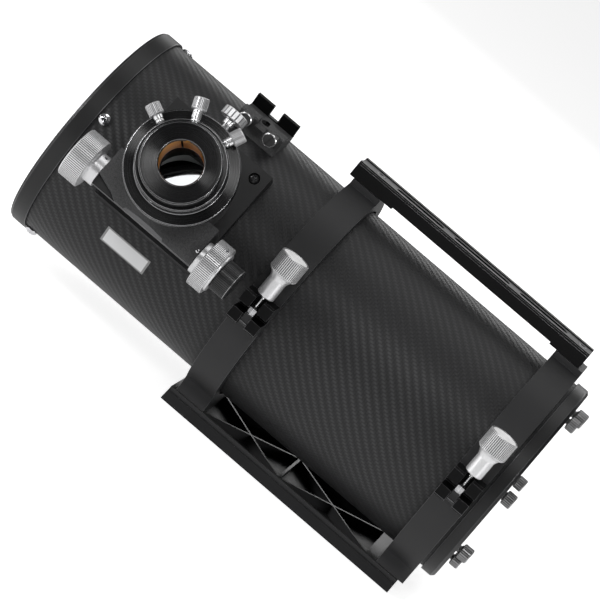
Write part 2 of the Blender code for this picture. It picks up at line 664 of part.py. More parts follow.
THUMB_SCREWS = (  # piece it enters, degrees from local X, height, tip radius, face radius
    (flange, 156.0, 178.4, 25.9, 33.5),
    (adapter, 113.0, 187.9, 17.5, 30.2),
    (flange, 68.0, 178.4, 25.9, 33.5),
)
for i, (piece, degrees, height, tip, face) in enumerate(THUMB_SCREWS, 1):
    here = focuser_frame @ frame((0, 0, height), (*polar(1, degrees), 0), Z_AXIS)
    cut(piece, rod(f"cut_thumb_{i}", THUMB_SHANK_R + GAP, 10, 50, here, steps=12))
    turned(
        f"thumb_screw_{i}",
        [(0, 49.0), (4.9, 49.0), (5.6, 48.2), (5.6, 40.6), (4.8, 40.0), (3.4, 40.0),
         (3.4, face + 1.4), (2.9, face + 0.4), (THUMB_SHANK_R, face + 0.4),
         (THUMB_SHANK_R, tip), (0, tip)],
        here, "silver", steps=16,
    )

turned("lock_knob", LOCK_KNOB, lock_frame, "silver", steps=24)
for name, slot, steps, profile in PINION_PIECES:
    turned(name, profile, pinion_frame, slot, steps=steps)

# ---------------------------------------------------------------- finder shoe
SHOE_DEG, SHOE_X, SHOE_HALF_L = 74.0, -182.0, 20
SHOE_OUTLINE = [  # (local y, height from the tube's axis)
    (-16, 86), (16, 86), (16, 97.0), (14.6, 98.4), (13.2, 108.0), (9.6, 108.0), (11.4, 97.6),
    (9.0, 97.6), (9.0, 98.0), (-6.5, 98.0), (-6.5, 97.6), (-8.4, 97.6), (-7.2, 104.2),
    (-14.8, 104.2), (-16, 103.0),
]
SHOE_GAP_HALF, SHOE_GAP_LOW = 4.2, 98.6
SHOE_THUMB_X, SHOE_THUMB_HEIGHT = 12.0, 101.2
SHOE_SCREW = [
    (0, 95.8), (1.3, 96.7), (2.6, 97.0), (4.0, 96.4), (4.0, 93.9), (2.0, 93.9), (2.0, 84.0),
    (0, 84.0),
]
SHOE_THUMB = [
    (0, 25.0), (4.9, 25.0), (5.6, 24.3), (5.6, 18.2), (5.0, 17.6), (3.2, 17.6),
    (3.2, 16.5), (2.0, 16.5), (2.0, 6.4), (0, 6.4),
]

shoe_frame = around_tube(SHOE_DEG, SHOE_X)
shoe = prism("finder_shoe", SHOE_OUTLINE, -SHOE_HALF_L, SHOE_HALF_L,
             shoe_frame @ frame((0, 0, 0), X_AXIS, Y_AXIS), "textured_black")
cut(shoe, saddle_cutter("cut_shoe_saddle"))
for label, low_y, high_y in (("near", -20, -7.0), ("far", 9.2, 20)):
    cut(shoe, block(f"cut_shoe_gap_{label}", (-SHOE_GAP_HALF, low_y, SHOE_GAP_LOW),
                    (SHOE_GAP_HALF, high_y, 120), shoe_frame))
cut(shoe, stepped_bore("cut_shoe_screw", 4.3, SMALL_HOLE_R, 110, 93.6, 80, shoe_frame))
cut(tube, rod("cut_tube_shoe", SMALL_HOLE_R, 80, 95, shoe_frame, steps=12))
turned("shoe_screw", SHOE_SCREW, shoe_frame, "dark_steel", steps=16)
for i, x in enumerate((-SHOE_THUMB_X, SHOE_THUMB_X), 1):
    here = shoe_frame @ frame((x, 0, SHOE_THUMB_HEIGHT), (0, -1, 0), Z_AXIS)
    cut(shoe, rod(f"cut_shoe_thumb_{i}", SMALL_HOLE_R, 4, 30, here, steps=12))
    turned(f"shoe_thumb_{i}", SHOE_THUMB, here, "satin_black", steps=16)

# ---------------------------------------------------------------- primary mirror and cell
MIRROR_R, MIRROR_EDGE_T, MIRROR_BACK_X, FOCAL = 77.0, 22.0, 102.0, 420.0
MIRROR_BEVEL = 0.8
MIRROR_RIM_X = MIRROR_BACK_X - MIRROR_EDGE_T
PRIMARY_MIRROR = [
    (0, MIRROR_BACK_X), (76.2, MIRROR_BACK_X), (MIRROR_R, MIRROR_BACK_X - MIRROR_BEVEL),
    (MIRROR_R, MIRROR_RIM_X + MIRROR_BEVEL),
] + [  # the concave face is a paraboloid
    (radius, MIRROR_RIM_X + (MIRROR_R**2 - radius**2) / (4 * FOCAL))
    for radius in (75.8, 56, 37, 18, 0)
]
MIRROR_CELL = [
    (25.0, 110.0), (82.0, 110.0), (82.0, 84.0), (77.4, 84.0), (77.4, 102.4), (25.0, 102.4)
]
CELL_SCREW_DEGS, CELL_PITCH_R = (80.0, -40.0, 200.0), 76.0
LOCK_OFFSET_DEG = 11.5
COLLIMATION_SHANK_R, CELL_LOCK_SHANK_R = 3.0, 2.5
COLLIMATION_KNOB = [
    (0, 141.0), (5.4, 141.0), (6.3, 140.0), (6.3, 133.2), (5.6, 132.4),
    (COLLIMATION_SHANK_R, 132.4), (COLLIMATION_SHANK_R, 104.4), (0, 104.4),
]
LOCK_SCREW = [
    (0, 139.0), (4.8, 139.0), (5.6, 138.1), (5.6, 132.3), (4.9, 131.5),
    (CELL_LOCK_SHANK_R, 131.5), (CELL_LOCK_SHANK_R, 110.5), (0, 110.5),
]

turned("primary_mirror", PRIMARY_MIRROR, along_tube(), "mirror", steps=48)
cell = turned("mirror_cell", MIRROR_CELL, along_tube(), "satin_black", steps=48)
for i, degrees in enumerate(CELL_SCREW_DEGS, 1):
    here = along_tube(0, *polar(CELL_PITCH_R, 180 - degrees))
    lock = along_tube(0, *polar(CELL_PITCH_R, 180 - degrees + LOCK_OFFSET_DEG))
    hole = rod(f"cut_collimation_{i}", COLLIMATION_SHANK_R + GAP, 103.6, 140, here, steps=16)
    cut(cell, hole)
    cut(rear_ring, hole)
    cut(rear_ring, rod(f"cut_lock_{i}", CELL_LOCK_SHANK_R + GAP, 118, 140, lock, steps=16))
    turned(f"collimation_knob_{i}", COLLIMATION_KNOB, here, "silver", steps=16)
    turned(f"lock_screw_{i}", LOCK_SCREW, lock, "silver", steps=16)
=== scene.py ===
"""The looks of a Newtonian astrograph's tube assembly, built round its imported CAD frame.

Lengths are in millimetres unless said otherwise. The tube lies along X at AXIS_Z above the
underside of its dovetail plate, with its open front end at -X and the primary mirror at +X.
The focuser and the ring clamps are on the -Y side, and the ring hinges on the +Y side.
"""

import json
import math

import bmesh
import bpy
from mathutils import Matrix, Vector


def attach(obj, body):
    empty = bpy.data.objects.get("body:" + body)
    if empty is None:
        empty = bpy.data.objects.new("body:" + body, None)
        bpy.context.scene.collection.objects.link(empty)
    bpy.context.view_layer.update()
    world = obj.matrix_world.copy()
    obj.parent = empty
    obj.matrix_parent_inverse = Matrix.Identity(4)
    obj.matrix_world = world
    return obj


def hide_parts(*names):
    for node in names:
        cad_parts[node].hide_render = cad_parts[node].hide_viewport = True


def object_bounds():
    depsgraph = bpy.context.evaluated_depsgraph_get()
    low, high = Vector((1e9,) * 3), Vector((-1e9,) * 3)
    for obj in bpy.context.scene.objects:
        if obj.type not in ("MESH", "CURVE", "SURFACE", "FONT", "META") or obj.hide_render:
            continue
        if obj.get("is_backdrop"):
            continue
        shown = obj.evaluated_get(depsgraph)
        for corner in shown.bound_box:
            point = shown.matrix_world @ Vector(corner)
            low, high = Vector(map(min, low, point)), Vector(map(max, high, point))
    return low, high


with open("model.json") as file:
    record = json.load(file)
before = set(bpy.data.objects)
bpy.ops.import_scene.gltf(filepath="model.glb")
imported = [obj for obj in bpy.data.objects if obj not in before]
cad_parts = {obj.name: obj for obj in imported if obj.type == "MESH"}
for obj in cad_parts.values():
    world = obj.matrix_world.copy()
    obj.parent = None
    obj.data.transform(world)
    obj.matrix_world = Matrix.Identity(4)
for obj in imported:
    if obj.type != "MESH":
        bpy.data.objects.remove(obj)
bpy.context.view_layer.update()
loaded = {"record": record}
BODY_OF = {n: b for b, ns in loaded["record"]["behaviour"]["bodies"].items() for n in ns}
CAD_SLOTS = {m["slot"] for m in loaded["record"]["materials"]}

MM = 0.001
TAU = 2 * math.pi
WORLD = Matrix.Identity(4)
GAP = 0.3  # clearance between neighbouring pieces
AXIS_Z = 112.3

# Tube and end rings
TUBE_R, TUBE_WALL = 89.0, 2.5
TUBE_X0, TUBE_X1 = -286.7, 122.7
END_R = 91.2
FRONT_X, FRONT_RING_X = -290.0, -275.5
REAR_X, REAR_RING_X = 130.0, 118.5
PORT_R = 33.0  # the hole for the drawtube
TAP_R = 2.3  # clearance hole of the small screws

# Clamp rings; lug heights are from the tube's axis
RING_R, RING_BORE_R, RING_W = 100.3, 90.6, 26.0
RING_X = {"front": -94.0, "rear": 103.0}
FELT_R0, FELT_R1, FELT_W = 89.3, 90.3, 22.0
LUG_Y, BOLT_Y, PIVOT_Z = -118.5, -112.0, -10.5
UPPER_LUG, LOWER_LUG, SLOT_HALF = (0.3, 11.0), (-15.5, -5.5), 3.6
SLOT_END_Y = -106.8
HINGE_Y, HINGE_R, HINGE_PIN_R = 107.0, 6.0, 2.5
KNUCKLE_Y = 98.5
PAD_Z, PAD_HALF = 103.5, 17.0
FOOT_HALF, FOOT_SCREW_R = 42.5, 3.1
RAIL_SCREW_R = 2.8

# Plate and rail; rail heights are from the tube's axis
PLATE_L, PLATE_W, PLATE_H = 223.0, 101.6, 10.3
RAIL_L, RAIL_HALF, RAIL_Z0, RAIL_Z1 = PLATE_L, 16.0, 103.8, 117.0

# Focuser and finder shoe; heights are outwards from the tube's axis
FOCUSER_DEG, FOCUSER_X = 19.0, -193.0
BASE_HALF, BASE_TOP = 46.0, 101.0
BLOCK_LOW = BASE_TOP + GAP
HOUSING_R, HOUSING_TOP = 37.0, 150.0
DRAW_R, DRAW_BORE = 30.0, 27.0
PINION_Y, PINION_Z, ROLLER_R = -35.1, 128.0, 6.0
LOCK_Z = 138.0
EYE_R = 16.0
SHOE_DEG, SHOE_X = 74.0, -182.0

# Optics
MIRROR_R, MIRROR_T, MIRROR_BACK_X, FOCAL = 77.0, 22.0, 102.0, 420.0
DIAGONAL_R, DIAGONAL_T = 32.0, 9.0
SPIDER_X0, SPIDER_X1 = -277.0, -263.0
VANE_X = (SPIDER_X0 + SPIDER_X1) / 2
CELL_DEGS, CELL_R, CELL_LOCK_DEG = (80.0, -40.0, 200.0), 76.0, 11.5


# ---------------------------------------------------------------- node materials
class Value:
    """A node's output that can be added, subtracted, multiplied and divided."""

    def __init__(self, look, socket):
        self.look, self.socket = look, socket

    def __add__(self, other):
        return self.look.op("ADD", self, other)

    def __sub__(self, other):
        return self.look.op("SUBTRACT", self, other)

    def __rsub__(self, other):
        return self.look.op("SUBTRACT", other, self)

    def __mul__(self, other):
        return self.look.op("MULTIPLY", self, other)

    def __truediv__(self, other):
        return self.look.op("DIVIDE", self, other)


class Look:
    """A Principled material whose inputs are fed by small node chains."""

    def __init__(self, name):
        self.mat = bpy.data.materials.new(name)
        self.mat.use_nodes = True
        self.tree = self.mat.node_tree
        self.shader = self.tree.nodes["Principled BSDF"]
        self.coords = self.node("TexCoord", output="Object")

    def put(self, socket, value):
        if isinstance(value, Value):
            self.tree.links.new(value.socket, socket)
        elif isinstance(value, tuple):
            socket.default_value = (*value, 1.0)
        else:
            socket.default_value = value

    def set(self, **inputs):
        for key, value in inputs.items():
            self.put(self.shader.inputs[key.replace("_", " ")], value)

    def node(self, kind, inputs=(), output=0, **settings):
        """A new node's output. Inputs are a list from the first one, or a dict of names."""
        node = self.tree.nodes.new("ShaderNode" + kind)
        for key, value in settings.items():
            setattr(node, key, value)
        for key, value in inputs.items() if isinstance(inputs, dict) else enumerate(inputs):
            self.put(node.inputs[key], value)
        return Value(self, node.outputs[output])

    def op(self, kind, a, b=0.0, clamp=False):
        return self.node("Math", [a, b, 0.0], operation=kind, use_clamp=clamp)

    def xyz(self):
        outputs = self.node("SeparateXYZ", [self.coords]).socket.node.outputs
        return [Value(self, socket) for socket in outputs]

    def radius(self, x, y):
        return self.op("SQRT", x * x + y * y)

    def vec(self, x, y):
        return self.node("CombineXYZ", [x, y])

    def noise(self, scale, detail=2.0, rough=0.5, vector=None):
        return self.node("TexNoise", {"Vector": vector or self.coords, "Scale": scale,
                                      "Detail": detail, "Roughness": rough}, "Fac")

    def cells(self, scale):
        return self.node("TexVoronoi", {"Vector": self.coords, "Scale": scale}, "Distance",
                         feature="SMOOTH_F1")

    def span(self, value, low, high, out_low, out_high):
        return self.node("MapRange", [value, low, high, out_low, out_high])

    def mix(self, factor, a, b):
        return self.node("Mix", {0: factor, 6: a, 7: b}, 2, data_type="RGBA")

    def bump(self, height, distance, strength=1.0):
        return self.node("Bump", {"Strength": strength, "Distance": distance, "Height": height})

    def tangent(self):
        return self.node("Tangent", direction_type="RADIAL", axis="Z")


def tint(color, by):
    return tuple(min(1.0, max(0.0, c * by)) for c in color)


def metal(name, color, rough, metallic, grain=2600.0, depth=20, blotch=0.12,
          lathe=False, aniso=0.0, spread=0.10, specular=0.5, lift=0.0):
    """Metal with mottling and fine grain, and with lathe marks on turned pieces.

    The grain's depth is in micrometres, spread is the roughness's swing and lift a faint painted
    glow, an emission that stands in for light on a part that is no lamp.
    """
    look = Look(name)
    big = look.noise(28.0, 3.0, 0.55)
    fine = look.noise(grain, 2.0, 0.6)
    colour = look.mix(look.span(big, 0.3, 0.7, 0.0, 1.0),
                      tint(color, 1 - blotch), tint(color, 1 + blotch))
    roughness = look.op("ADD", look.span(fine, 0.25, 0.75, rough - spread, rough + spread),
                        look.span(big, 0.3, 0.7, -0.03, 0.03), clamp=True)
    height = fine
    if lathe:
        x, y, z = look.xyz()
        radius = look.radius(x, y)
        marks = look.noise(5200.0, 1.0, 0.5, look.vec(radius, z))
        wide = look.noise(1100.0, 1.0, 0.5, look.vec(radius, z))
        height = marks * 0.9 + wide * 0.6
        roughness = look.op("ADD", roughness, look.span(marks, 0.3, 0.7, -0.05, 0.05), clamp=True)
    look.set(Base_Color=colour, Metallic=metallic, Roughness=roughness,
             Normal=look.bump(height, depth * 1e-6), Coat_Roughness=0.12,
             Specular_IOR_Level=specular)
    # Painted glow: the surface emits its own colour as if it were lit.
    if lift:
        look.set(Emission_Color=color, Emission_Strength=lift)
    if aniso:
        # Lathe marks run round the axis and spread a reflection across them.
        look.set(Anisotropic=aniso, Anisotropic_Rotation=0.25, Tangent=look.tangent())
    return look.mat


def powder(name, color, rough=0.62, scale=1500.0):
    """Wrinkle powder coat: rounded grains, with painted light on their tops and painted shade
    between them.
    """
    look = Look(name)
    grain = look.noise(scale, 3.0, 0.7)
    height = grain - look.cells(scale * 0.8) * 0.6
    big = look.noise(22.0)
    shade = look.mix(look.span(height, -0.05, 0.45, 0.0, 1.0), tint(color, 0.55), tint(color, 1.7))
    look.set(Base_Color=look.mix(look.span(big, 0.3, 0.7, 0.0, 0.35), shade, tint(color, 0.75)),
             Metallic=0.0, Roughness=look.span(grain, 0.2, 0.8, rough - 0.12, rough + 0.15),
             Specular_IOR_Level=0.45, Normal=look.bump(height, 0.00022, 0.7))
    return look.mat


# Carbon twill: the tows' colours, the length round the tube and the number of tows in it. The gap
# colour is painted shade between the tows, and the warp's paler colour is a painted sheen.
CARBON_GAP_SHADE = (0.008, 0.008, 0.0084)
CARBON_WEFT, CARBON_WARP = (0.020, 0.020, 0.021), (0.037, 0.037, 0.0385)
TUBE_ROUND, TOWS_ROUND = 559.203, 66 * 4


def twill(name):
    """2x2 twill of 2.1 mm tows under a semi-matt lacquer, on a cylinder about local Z."""
    look = Look(name)
    x, y, z = look.xyz()
    tow = TUBE_ROUND * MM / TOWS_ROUND
    turn = look.op("ARCTAN2", y, x)
    u = z / tow
    v = turn * (TUBE_R * MM / tow)
    wander = (look.noise(60.0, 1.0) - 0.5) * 0.16
    u = u + wander
    v = v + wander
    cell_u, cell_v = look.op("FLOOR", u), look.op("FLOOR", v)
    in_u, in_v = look.op("FRACT", u), look.op("FRACT", v)
    # Each row of the weave is shifted by one tow, and adding 50 keeps the fraction positive.
    step = look.op("FRACT", (cell_u - cell_v) / 4.0 + 50.0) * 4.0
    warp = look.op("LESS_THAN", step, 1.5)
    along_warp = (step + in_u) / 2.0
    along_weft = (step - 2.0 + in_v) / 2.0

    def arch(f):
        """The rise of a tow over the two it crosses."""
        return look.op("POWER", look.op("MAXIMUM", look.op("SINE", f * math.pi), 0.0), 0.5)

    def crown(f):
        """The round section of a tow."""
        g = f * 2.0 - 1.0
        return look.op("SQRT", look.op("MAXIMUM", 1.0 - g * g, 0.0))

    def woven(on_warp, on_weft):
        return warp * on_warp + (1.0 - warp) * on_weft

    height = woven(arch(along_warp) * crown(in_v), arch(along_weft) * crown(in_u))
    strands = woven(look.noise(1.0, 2.0, 0.6, look.vec(u * 0.6, v * 9.0)),
                    look.noise(1.0, 2.0, 0.6, look.vec(u * 9.0, v * 0.6)))
    # Tow crowns are paler than the gaps, which is painted shade between the tows, and warp tows are
    # paler than weft tows, which is a painted sheen.
    lift = height * look.span(strands, 0.2, 0.8, 0.75, 1.15)
    weft_colour = look.mix(lift, CARBON_GAP_SHADE, CARBON_WEFT)
    warp_colour = look.mix(lift, CARBON_GAP_SHADE, CARBON_WARP)
    look.set(
        Base_Color=look.mix(warp, weft_colour, warp_colour), Metallic=0.2,
        Specular_IOR_Level=0.38, Roughness=look.span(strands, 0.2, 0.8, 0.46, 0.56),
        Anisotropic=0.6, Anisotropic_Rotation=warp * 0.25, Tangent=look.tangent(),
        Normal=look.bump(height + strands * 0.25, 0.0001, 0.45),
        Coat_Weight=0.15, Coat_Roughness=0.4, Coat_IOR=1.4,
    )
    return look.mat


def cloth(name, color):
    look = Look(name)
    fuzz = look.noise(2400.0, 4.0, 0.7)
    look.set(Base_Color=look.mix(fuzz, tint(color, 0.5), tint(color, 1.8)), Roughness=0.95,
             Sheen_Weight=0.4, Sheen_Roughness=0.5, Normal=look.bump(fuzz, 0.0003, 0.9))
    return look.mat


def glass_mirror(name):
    look = Look(name)
    haze = look.noise(40.0, 3.0)
    look.set(Base_Color=look.mix(haze, (0.90, 0.91, 0.92), (0.95, 0.96, 0.97)), Metallic=1.0,
             Roughness=look.span(haze, 0.3, 0.7, 0.012, 0.03))
    return look.mat


# The finish of each slot's faces, and of its rounded edges, whose paler finish is a painted
# highlight.
# The columns of metal() are name, colour, roughness, metallic, and where given grain scale, grain
# depth and blotch.
LOOKS = {
    "carbon": (twill("carbon_twill"), metal("carbon_cut", (0.012, 0.012, 0.012), 0.5, 0.0)),
    "satin_black": (
        metal("black_anodised", (0.014, 0.014, 0.0145), 0.42, 0.1, 3200, 12, specular=0.35),
        metal("black_anodised_edge", (0.10, 0.10, 0.104), 0.3, 0.6, 3200, 10),
    ),
    "ring_grey": (
        metal("grey_anodised", (0.020, 0.020, 0.0208), 0.5, 0.1, 3400, 16, 0.08, specular=0.35),
        metal("grey_anodised_edge", (0.12, 0.12, 0.124), 0.36, 0.5, 3200, 10),
    ),
    "gloss_black": (
        metal("black_turned", (0.005, 0.005, 0.0054), 0.25, 0.0, 2600, 0.9, 0.05,
              lathe=True, aniso=0.9, spread=0.03, specular=0.44),
        metal("black_turned_edge", (0.42, 0.42, 0.43), 0.27, 1.0, 2600, 0.5, 0.05,
              lathe=True, spread=0.03),
    ),
    "textured_black": (
        powder("black_powder_coat", (0.040, 0.040, 0.041)),
        powder("black_powder_coat_edge", (0.075, 0.075, 0.078), rough=0.5),
    ),
    "silver": (
        metal("clear_anodised", (0.74, 0.74, 0.75), 0.34, 0.6, 3000, 10, 0.04),
        metal("clear_anodised_edge", (0.85, 0.85, 0.86), 0.24, 0.9, 3000, 6, 0.03),
    ),
    "satin_silver": (
        metal("turned_aluminium", (0.80, 0.80, 0.81), 0.36, 0.7, 3000, 4, 0.04,
              lathe=True, aniso=0.4, spread=0.04),
        metal("turned_aluminium_edge", (0.85, 0.85, 0.86), 0.24, 0.9, 3000, 6, 0.03),
    ),
    # The faced end carries a painted glow (lift) on top of its pale colour.
    "faced_white": (
        metal("bright_faced_end", (0.96, 0.96, 0.96), 0.45, 0.25, 3000, 4, 0.02,
              lathe=True, aniso=0.5, spread=0.03, lift=0.3),
        metal("bright_faced_end_edge", (0.9, 0.9, 0.91), 0.3, 0.8, 3000, 4, 0.03),
    ),
    # A deeper black for faces that sit in shade: painted shade.
    "shaded_black": (
        metal("painted_shade_black", (0.003, 0.003, 0.0032), 0.45, 0.0, 3200, 12, 0.08, specular=0.12),
        metal("milled_lug_edge", (0.12, 0.12, 0.124), 0.36, 0.5, 3200, 10),
    ),
    "polished": (
        metal("faced_aluminium", (0.88, 0.88, 0.89), 0.26, 0.9, 3000, 1, 0.03,
              lathe=True, aniso=0.5, spread=0.03),
        metal("faced_aluminium_edge", (0.9, 0.9, 0.91), 0.2, 1.0, 3000, 4, 0.03),
    ),
    "shoe_black": (
        powder("shoe_coat", (0.055, 0.055, 0.056), rough=0.55),
        metal("shoe_edge", (0.34, 0.34, 0.345), 0.35, 0.6, 3200, 10),
    ),
    "shoe_knob": (
        metal("shoe_knob_face", (0.075, 0.075, 0.076), 0.36, 0.3, 3000, 6, 0.06,
              lathe=True, aniso=0.4, spread=0.04),
        metal("shoe_knob_edge", (0.55, 0.55, 0.56), 0.25, 0.9, 3000, 4, 0.03),
    ),
    "fine_black": (
        metal("fine_knob_crest", (0.034, 0.034, 0.035), 0.34, 0.3, 3000, 6, 0.06),
        metal("fine_knob_edge", (0.12, 0.12, 0.124), 0.3, 0.6, 3000, 6, 0.06),
    ),
    "rail_black": (
        metal("rail_side", (0.0035, 0.0035, 0.0037), 0.42, 0.0, 3200, 10, 0.08, specular=0.14),
        metal("rail_edge", (0.42, 0.42, 0.43), 0.3, 0.8, 3200, 10),
    ),
    "plate_top": (metal("plate_rib_top", (0.075, 0.075, 0.077), 0.34, 0.4, 3200, 10, 0.06),) * 2,
    "plate_edge": (metal("plate_edge_highlight", (0.30, 0.30, 0.305), 0.32, 0.8, 3200, 10),) * 2,
    "block_chamfer": (
        metal("pale_block_facet", (0.11, 0.11, 0.113), 0.4, 0.4, 2400, 10, 0.08),
        metal("milled_facet_edge", (0.2, 0.2, 0.2), 0.4, 0.5, 2400, 10, 0.08),
    ),
    "steel": (
        metal("turned_steel", (0.48, 0.48, 0.49), 0.28, 1.0, 2800, 6, 0.05, lathe=True, aniso=0.3),
        metal("turned_steel_edge", (0.7, 0.7, 0.71), 0.2, 1.0, 2800, 4, 0.05),
    ),
    "dull_steel": (
        metal("plated_knob", (0.40, 0.40, 0.405), 0.34, 0.7, 2800, 6, 0.08, lathe=True, aniso=0.3),
        metal("plated_knob_edge", (0.55, 0.55, 0.56), 0.24, 1.0, 2800, 4, 0.05),
    ),
    "chrome": (
        metal("bright_plate", (0.78, 0.78, 0.8), 0.09, 1.0, 900, 2, 0.03, spread=0.03),
        metal("bright_plate_edge", (0.85, 0.85, 0.86), 0.08, 1.0, 900, 2, 0.03, spread=0.02),
    ),
    "dark_steel": (
        metal("black_oxide", (0.03, 0.03, 0.031), 0.32, 0.6, 2400, 10, 0.15),
        metal("black_oxide_edge", (0.2, 0.2, 0.205), 0.3, 0.9, 2400, 8, 0.1),
    ),
    "brass": (
        metal("spring_brass", (0.92, 0.40, 0.035), 0.36, 0.7, 1200, 10, 0.25,
              lathe=True, aniso=0.6, spread=0.08),
        metal("spring_brass_edge", (0.85, 0.5, 0.2), 0.25, 1.0, 1200, 10, 0.1),
    ),
    "felt": (cloth("black_felt", (0.02, 0.02, 0.02)),) * 2,
    "mirror": (
        glass_mirror("aluminised_glass"),
        metal("ground_glass_edge", (0.45, 0.47, 0.47), 0.6, 0.0),
    ),
    "matte_black": (
        metal("flat_black", (0.006, 0.006, 0.006), 0.85, 0.0, 2000, 30, 0.2,
              spread=0.08, specular=0.2),
        metal("flat_black_edge", (0.02, 0.02, 0.02), 0.8, 0.0),
    ),
    "bore_black": (
        metal("bored_black", (0.008, 0.008, 0.008), 0.6, 0.0, 2400, 10, 0.2,
              lathe=True, aniso=0.3, spread=0.08, specular=0.15),
        metal("bored_black_edge", (0.03, 0.03, 0.03), 0.5, 0.0),
    ),
    "label": (
        metal("blank_label", (0.64, 0.645, 0.65), 0.42, 0.0, 1800, 4, 0.03),
        metal("blank_label_edge", (0.25, 0.25, 0.25), 0.5, 0.0),
    ),
}
# The floors of knurls take a darker, duller finish than the crests: painted shade in the grooves.
GROOVE_SHADES = {
    "silver": metal("knurl_groove", (0.26, 0.26, 0.265), 0.5, 0.5, 3000, 10, 0.1),
    "gloss_black": metal("black_knurl_groove", (0.004, 0.004, 0.004), 0.7, 0.0, 3000, 10, 0.1,
                         specular=0.2),
    "satin_black": metal("satin_knurl_groove", (0.005, 0.005, 0.005), 0.7, 0.0, 3000, 10, 0.1,
                         specular=0.2),
    "dull_steel": metal("plated_groove", (0.06, 0.06, 0.06), 0.6, 0.4, 3000, 10, 0.1),
}
CAD_SLOT_OF = {"dull_steel": "silver"}


# ---------------------------------------------------------------- frames and outlines
def frame(origin, z_axis, x_axis=None):
    z = Vector(z_axis).normalized()
    x = Vector(x_axis if x_axis else ((1, 0, 0) if abs(z.x) < 0.9 else (0, 1, 0)))
    x = (x - z * x.dot(z)).normalized()
    y = z.cross(x)
    made = Matrix((x, y, z)).transposed().to_4x4()
    made.translation = Vector(origin) * MM
    return made


def direction(degrees):
    """Outwards from the tube's axis, at an angle from -Y up towards +Z."""
    a = math.radians(degrees)
    return Vector((0, -math.cos(a), math.sin(a)))


def around(degrees, x):
    """Origin on the tube's axis, local Z outwards and local X along the tube."""
    return frame((x, 0, AXIS_Z), direction(degrees), (1, 0, 0))


def along(x=0.0, y=0.0, z=0.0):
    """Local Z along the tube, local X and Y along the world's Y and Z, from the tube's axis."""
    return frame((x, y, AXIS_Z + z), (1, 0, 0), (0, 1, 0))


def upright(x, z=0.0, y=0.0):
    return frame((x, y, z), (0, 0, 1))


# Rotations that point local Z along an axis of the parent frame
TURNS = {
    "Z": Matrix.Identity(4),
    "X": Matrix(((0, 0, 1, 0), (1, 0, 0, 0), (0, 1, 0, 0), (0, 0, 0, 1))),
    "Y": Matrix(((0, 1, 0, 0), (0, 0, 1, 0), (1, 0, 0, 0), (0, 0, 0, 1))),
    "-Y": Matrix(((0, -1, 0, 0), (0, 0, -1, 0), (1, 0, 0, 0), (0, 0, 0, 1))),
}


def at(matrix, x, y, z, axis="Z"):
    return matrix @ Matrix.Translation(Vector((x, y, z)) * MM) @ TURNS[axis]


def spun(matrix, radians):
    return matrix @ Matrix.Rotation(radians, 4, "Z")


def polar(radius, degrees):
    a = math.radians(degrees)
    return radius * math.cos(a), radius * math.sin(a)


def radial(matrix, height, degrees):
    """Local Z outwards from a turned piece's axis, at a height on it and an angle round it."""
    turn = matrix.to_3x3()
    return frame(matrix @ Vector((0, 0, height * MM)) / MM,
                 turn @ Vector((*polar(1, degrees), 0)), turn @ Vector((0, 0, 1)))


def arc(radius, start, end, count, centre=(0, 0)):
    points = [polar(radius, start + (end - start) * i / count) for i in range(count + 1)]
    return [(centre[0] + x, centre[1] + y) for x, y in points]


# ---------------------------------------------------------------- mesh helpers
def mesh_of(name, bm):
    mesh = bpy.data.meshes.new(name)
    bm.to_mesh(mesh)
    bm.free()
    return mesh


def new_object(name, bm, matrix, slot):
    bmesh.ops.recalc_face_normals(bm, faces=bm.faces)
    mesh = mesh_of(name, bm)
    thing = bpy.data.objects.new(name, mesh)
    thing.matrix_world = matrix
    bpy.context.scene.collection.objects.link(thing)
    if slot is not None:
        for look in LOOKS[slot]:
            mesh.materials.append(look)
        thing["slot"] = slot
    return thing


def rounded(profile, closed, radius):
    """The profile with its corners turned into short arcs, and which of its steps are on one."""
    points, on_edge = [], []
    n = len(profile)
    for i, point in enumerate(profile):
        flag = point[2] if len(point) > 2 else ""
        here = Vector((point[0], point[1]))
        turn = 0.0
        if (closed or 0 < i < n - 1) and not flag and here.x >= 1e-6 and radius > 0:
            a = Vector(profile[i - 1][:2]) - here
            b = Vector(profile[(i + 1) % n][:2]) - here
            turn = math.pi - a.angle(b, math.pi)
        if turn < math.radians(18):
            points.append((here.x, here.y, flag))
            on_edge.append(False)
            continue
        cut_back = min(radius * math.tan(turn / 2), 0.42 * a.length, 0.42 * b.length)
        start, end = here + a.normalized() * cut_back, here + b.normalized() * cut_back
        mid = start * 0.25 + here * 0.5 + end * 0.25
        points += [(start.x, start.y, ""), (mid.x, mid.y, ""), (end.x, end.y, "")]
        on_edge += [True, True, False]
    return points, on_edge


# One tooth of each knurl: place within the pitch, and height as a part of the depth
TEETH = {
    "straight": ((0.0, 0.0), (0.50, 0.0), (0.62, -1.0), (0.88, -1.0)),
    "fine": ((0.0, 0.0), (0.34, 0.0), (0.5, -1.0), (0.84, -1.0)),
    "flute": ((0.0, 0.0), (0.70, 0.0), (0.80, -1.0), (0.92, -1.0)),
}


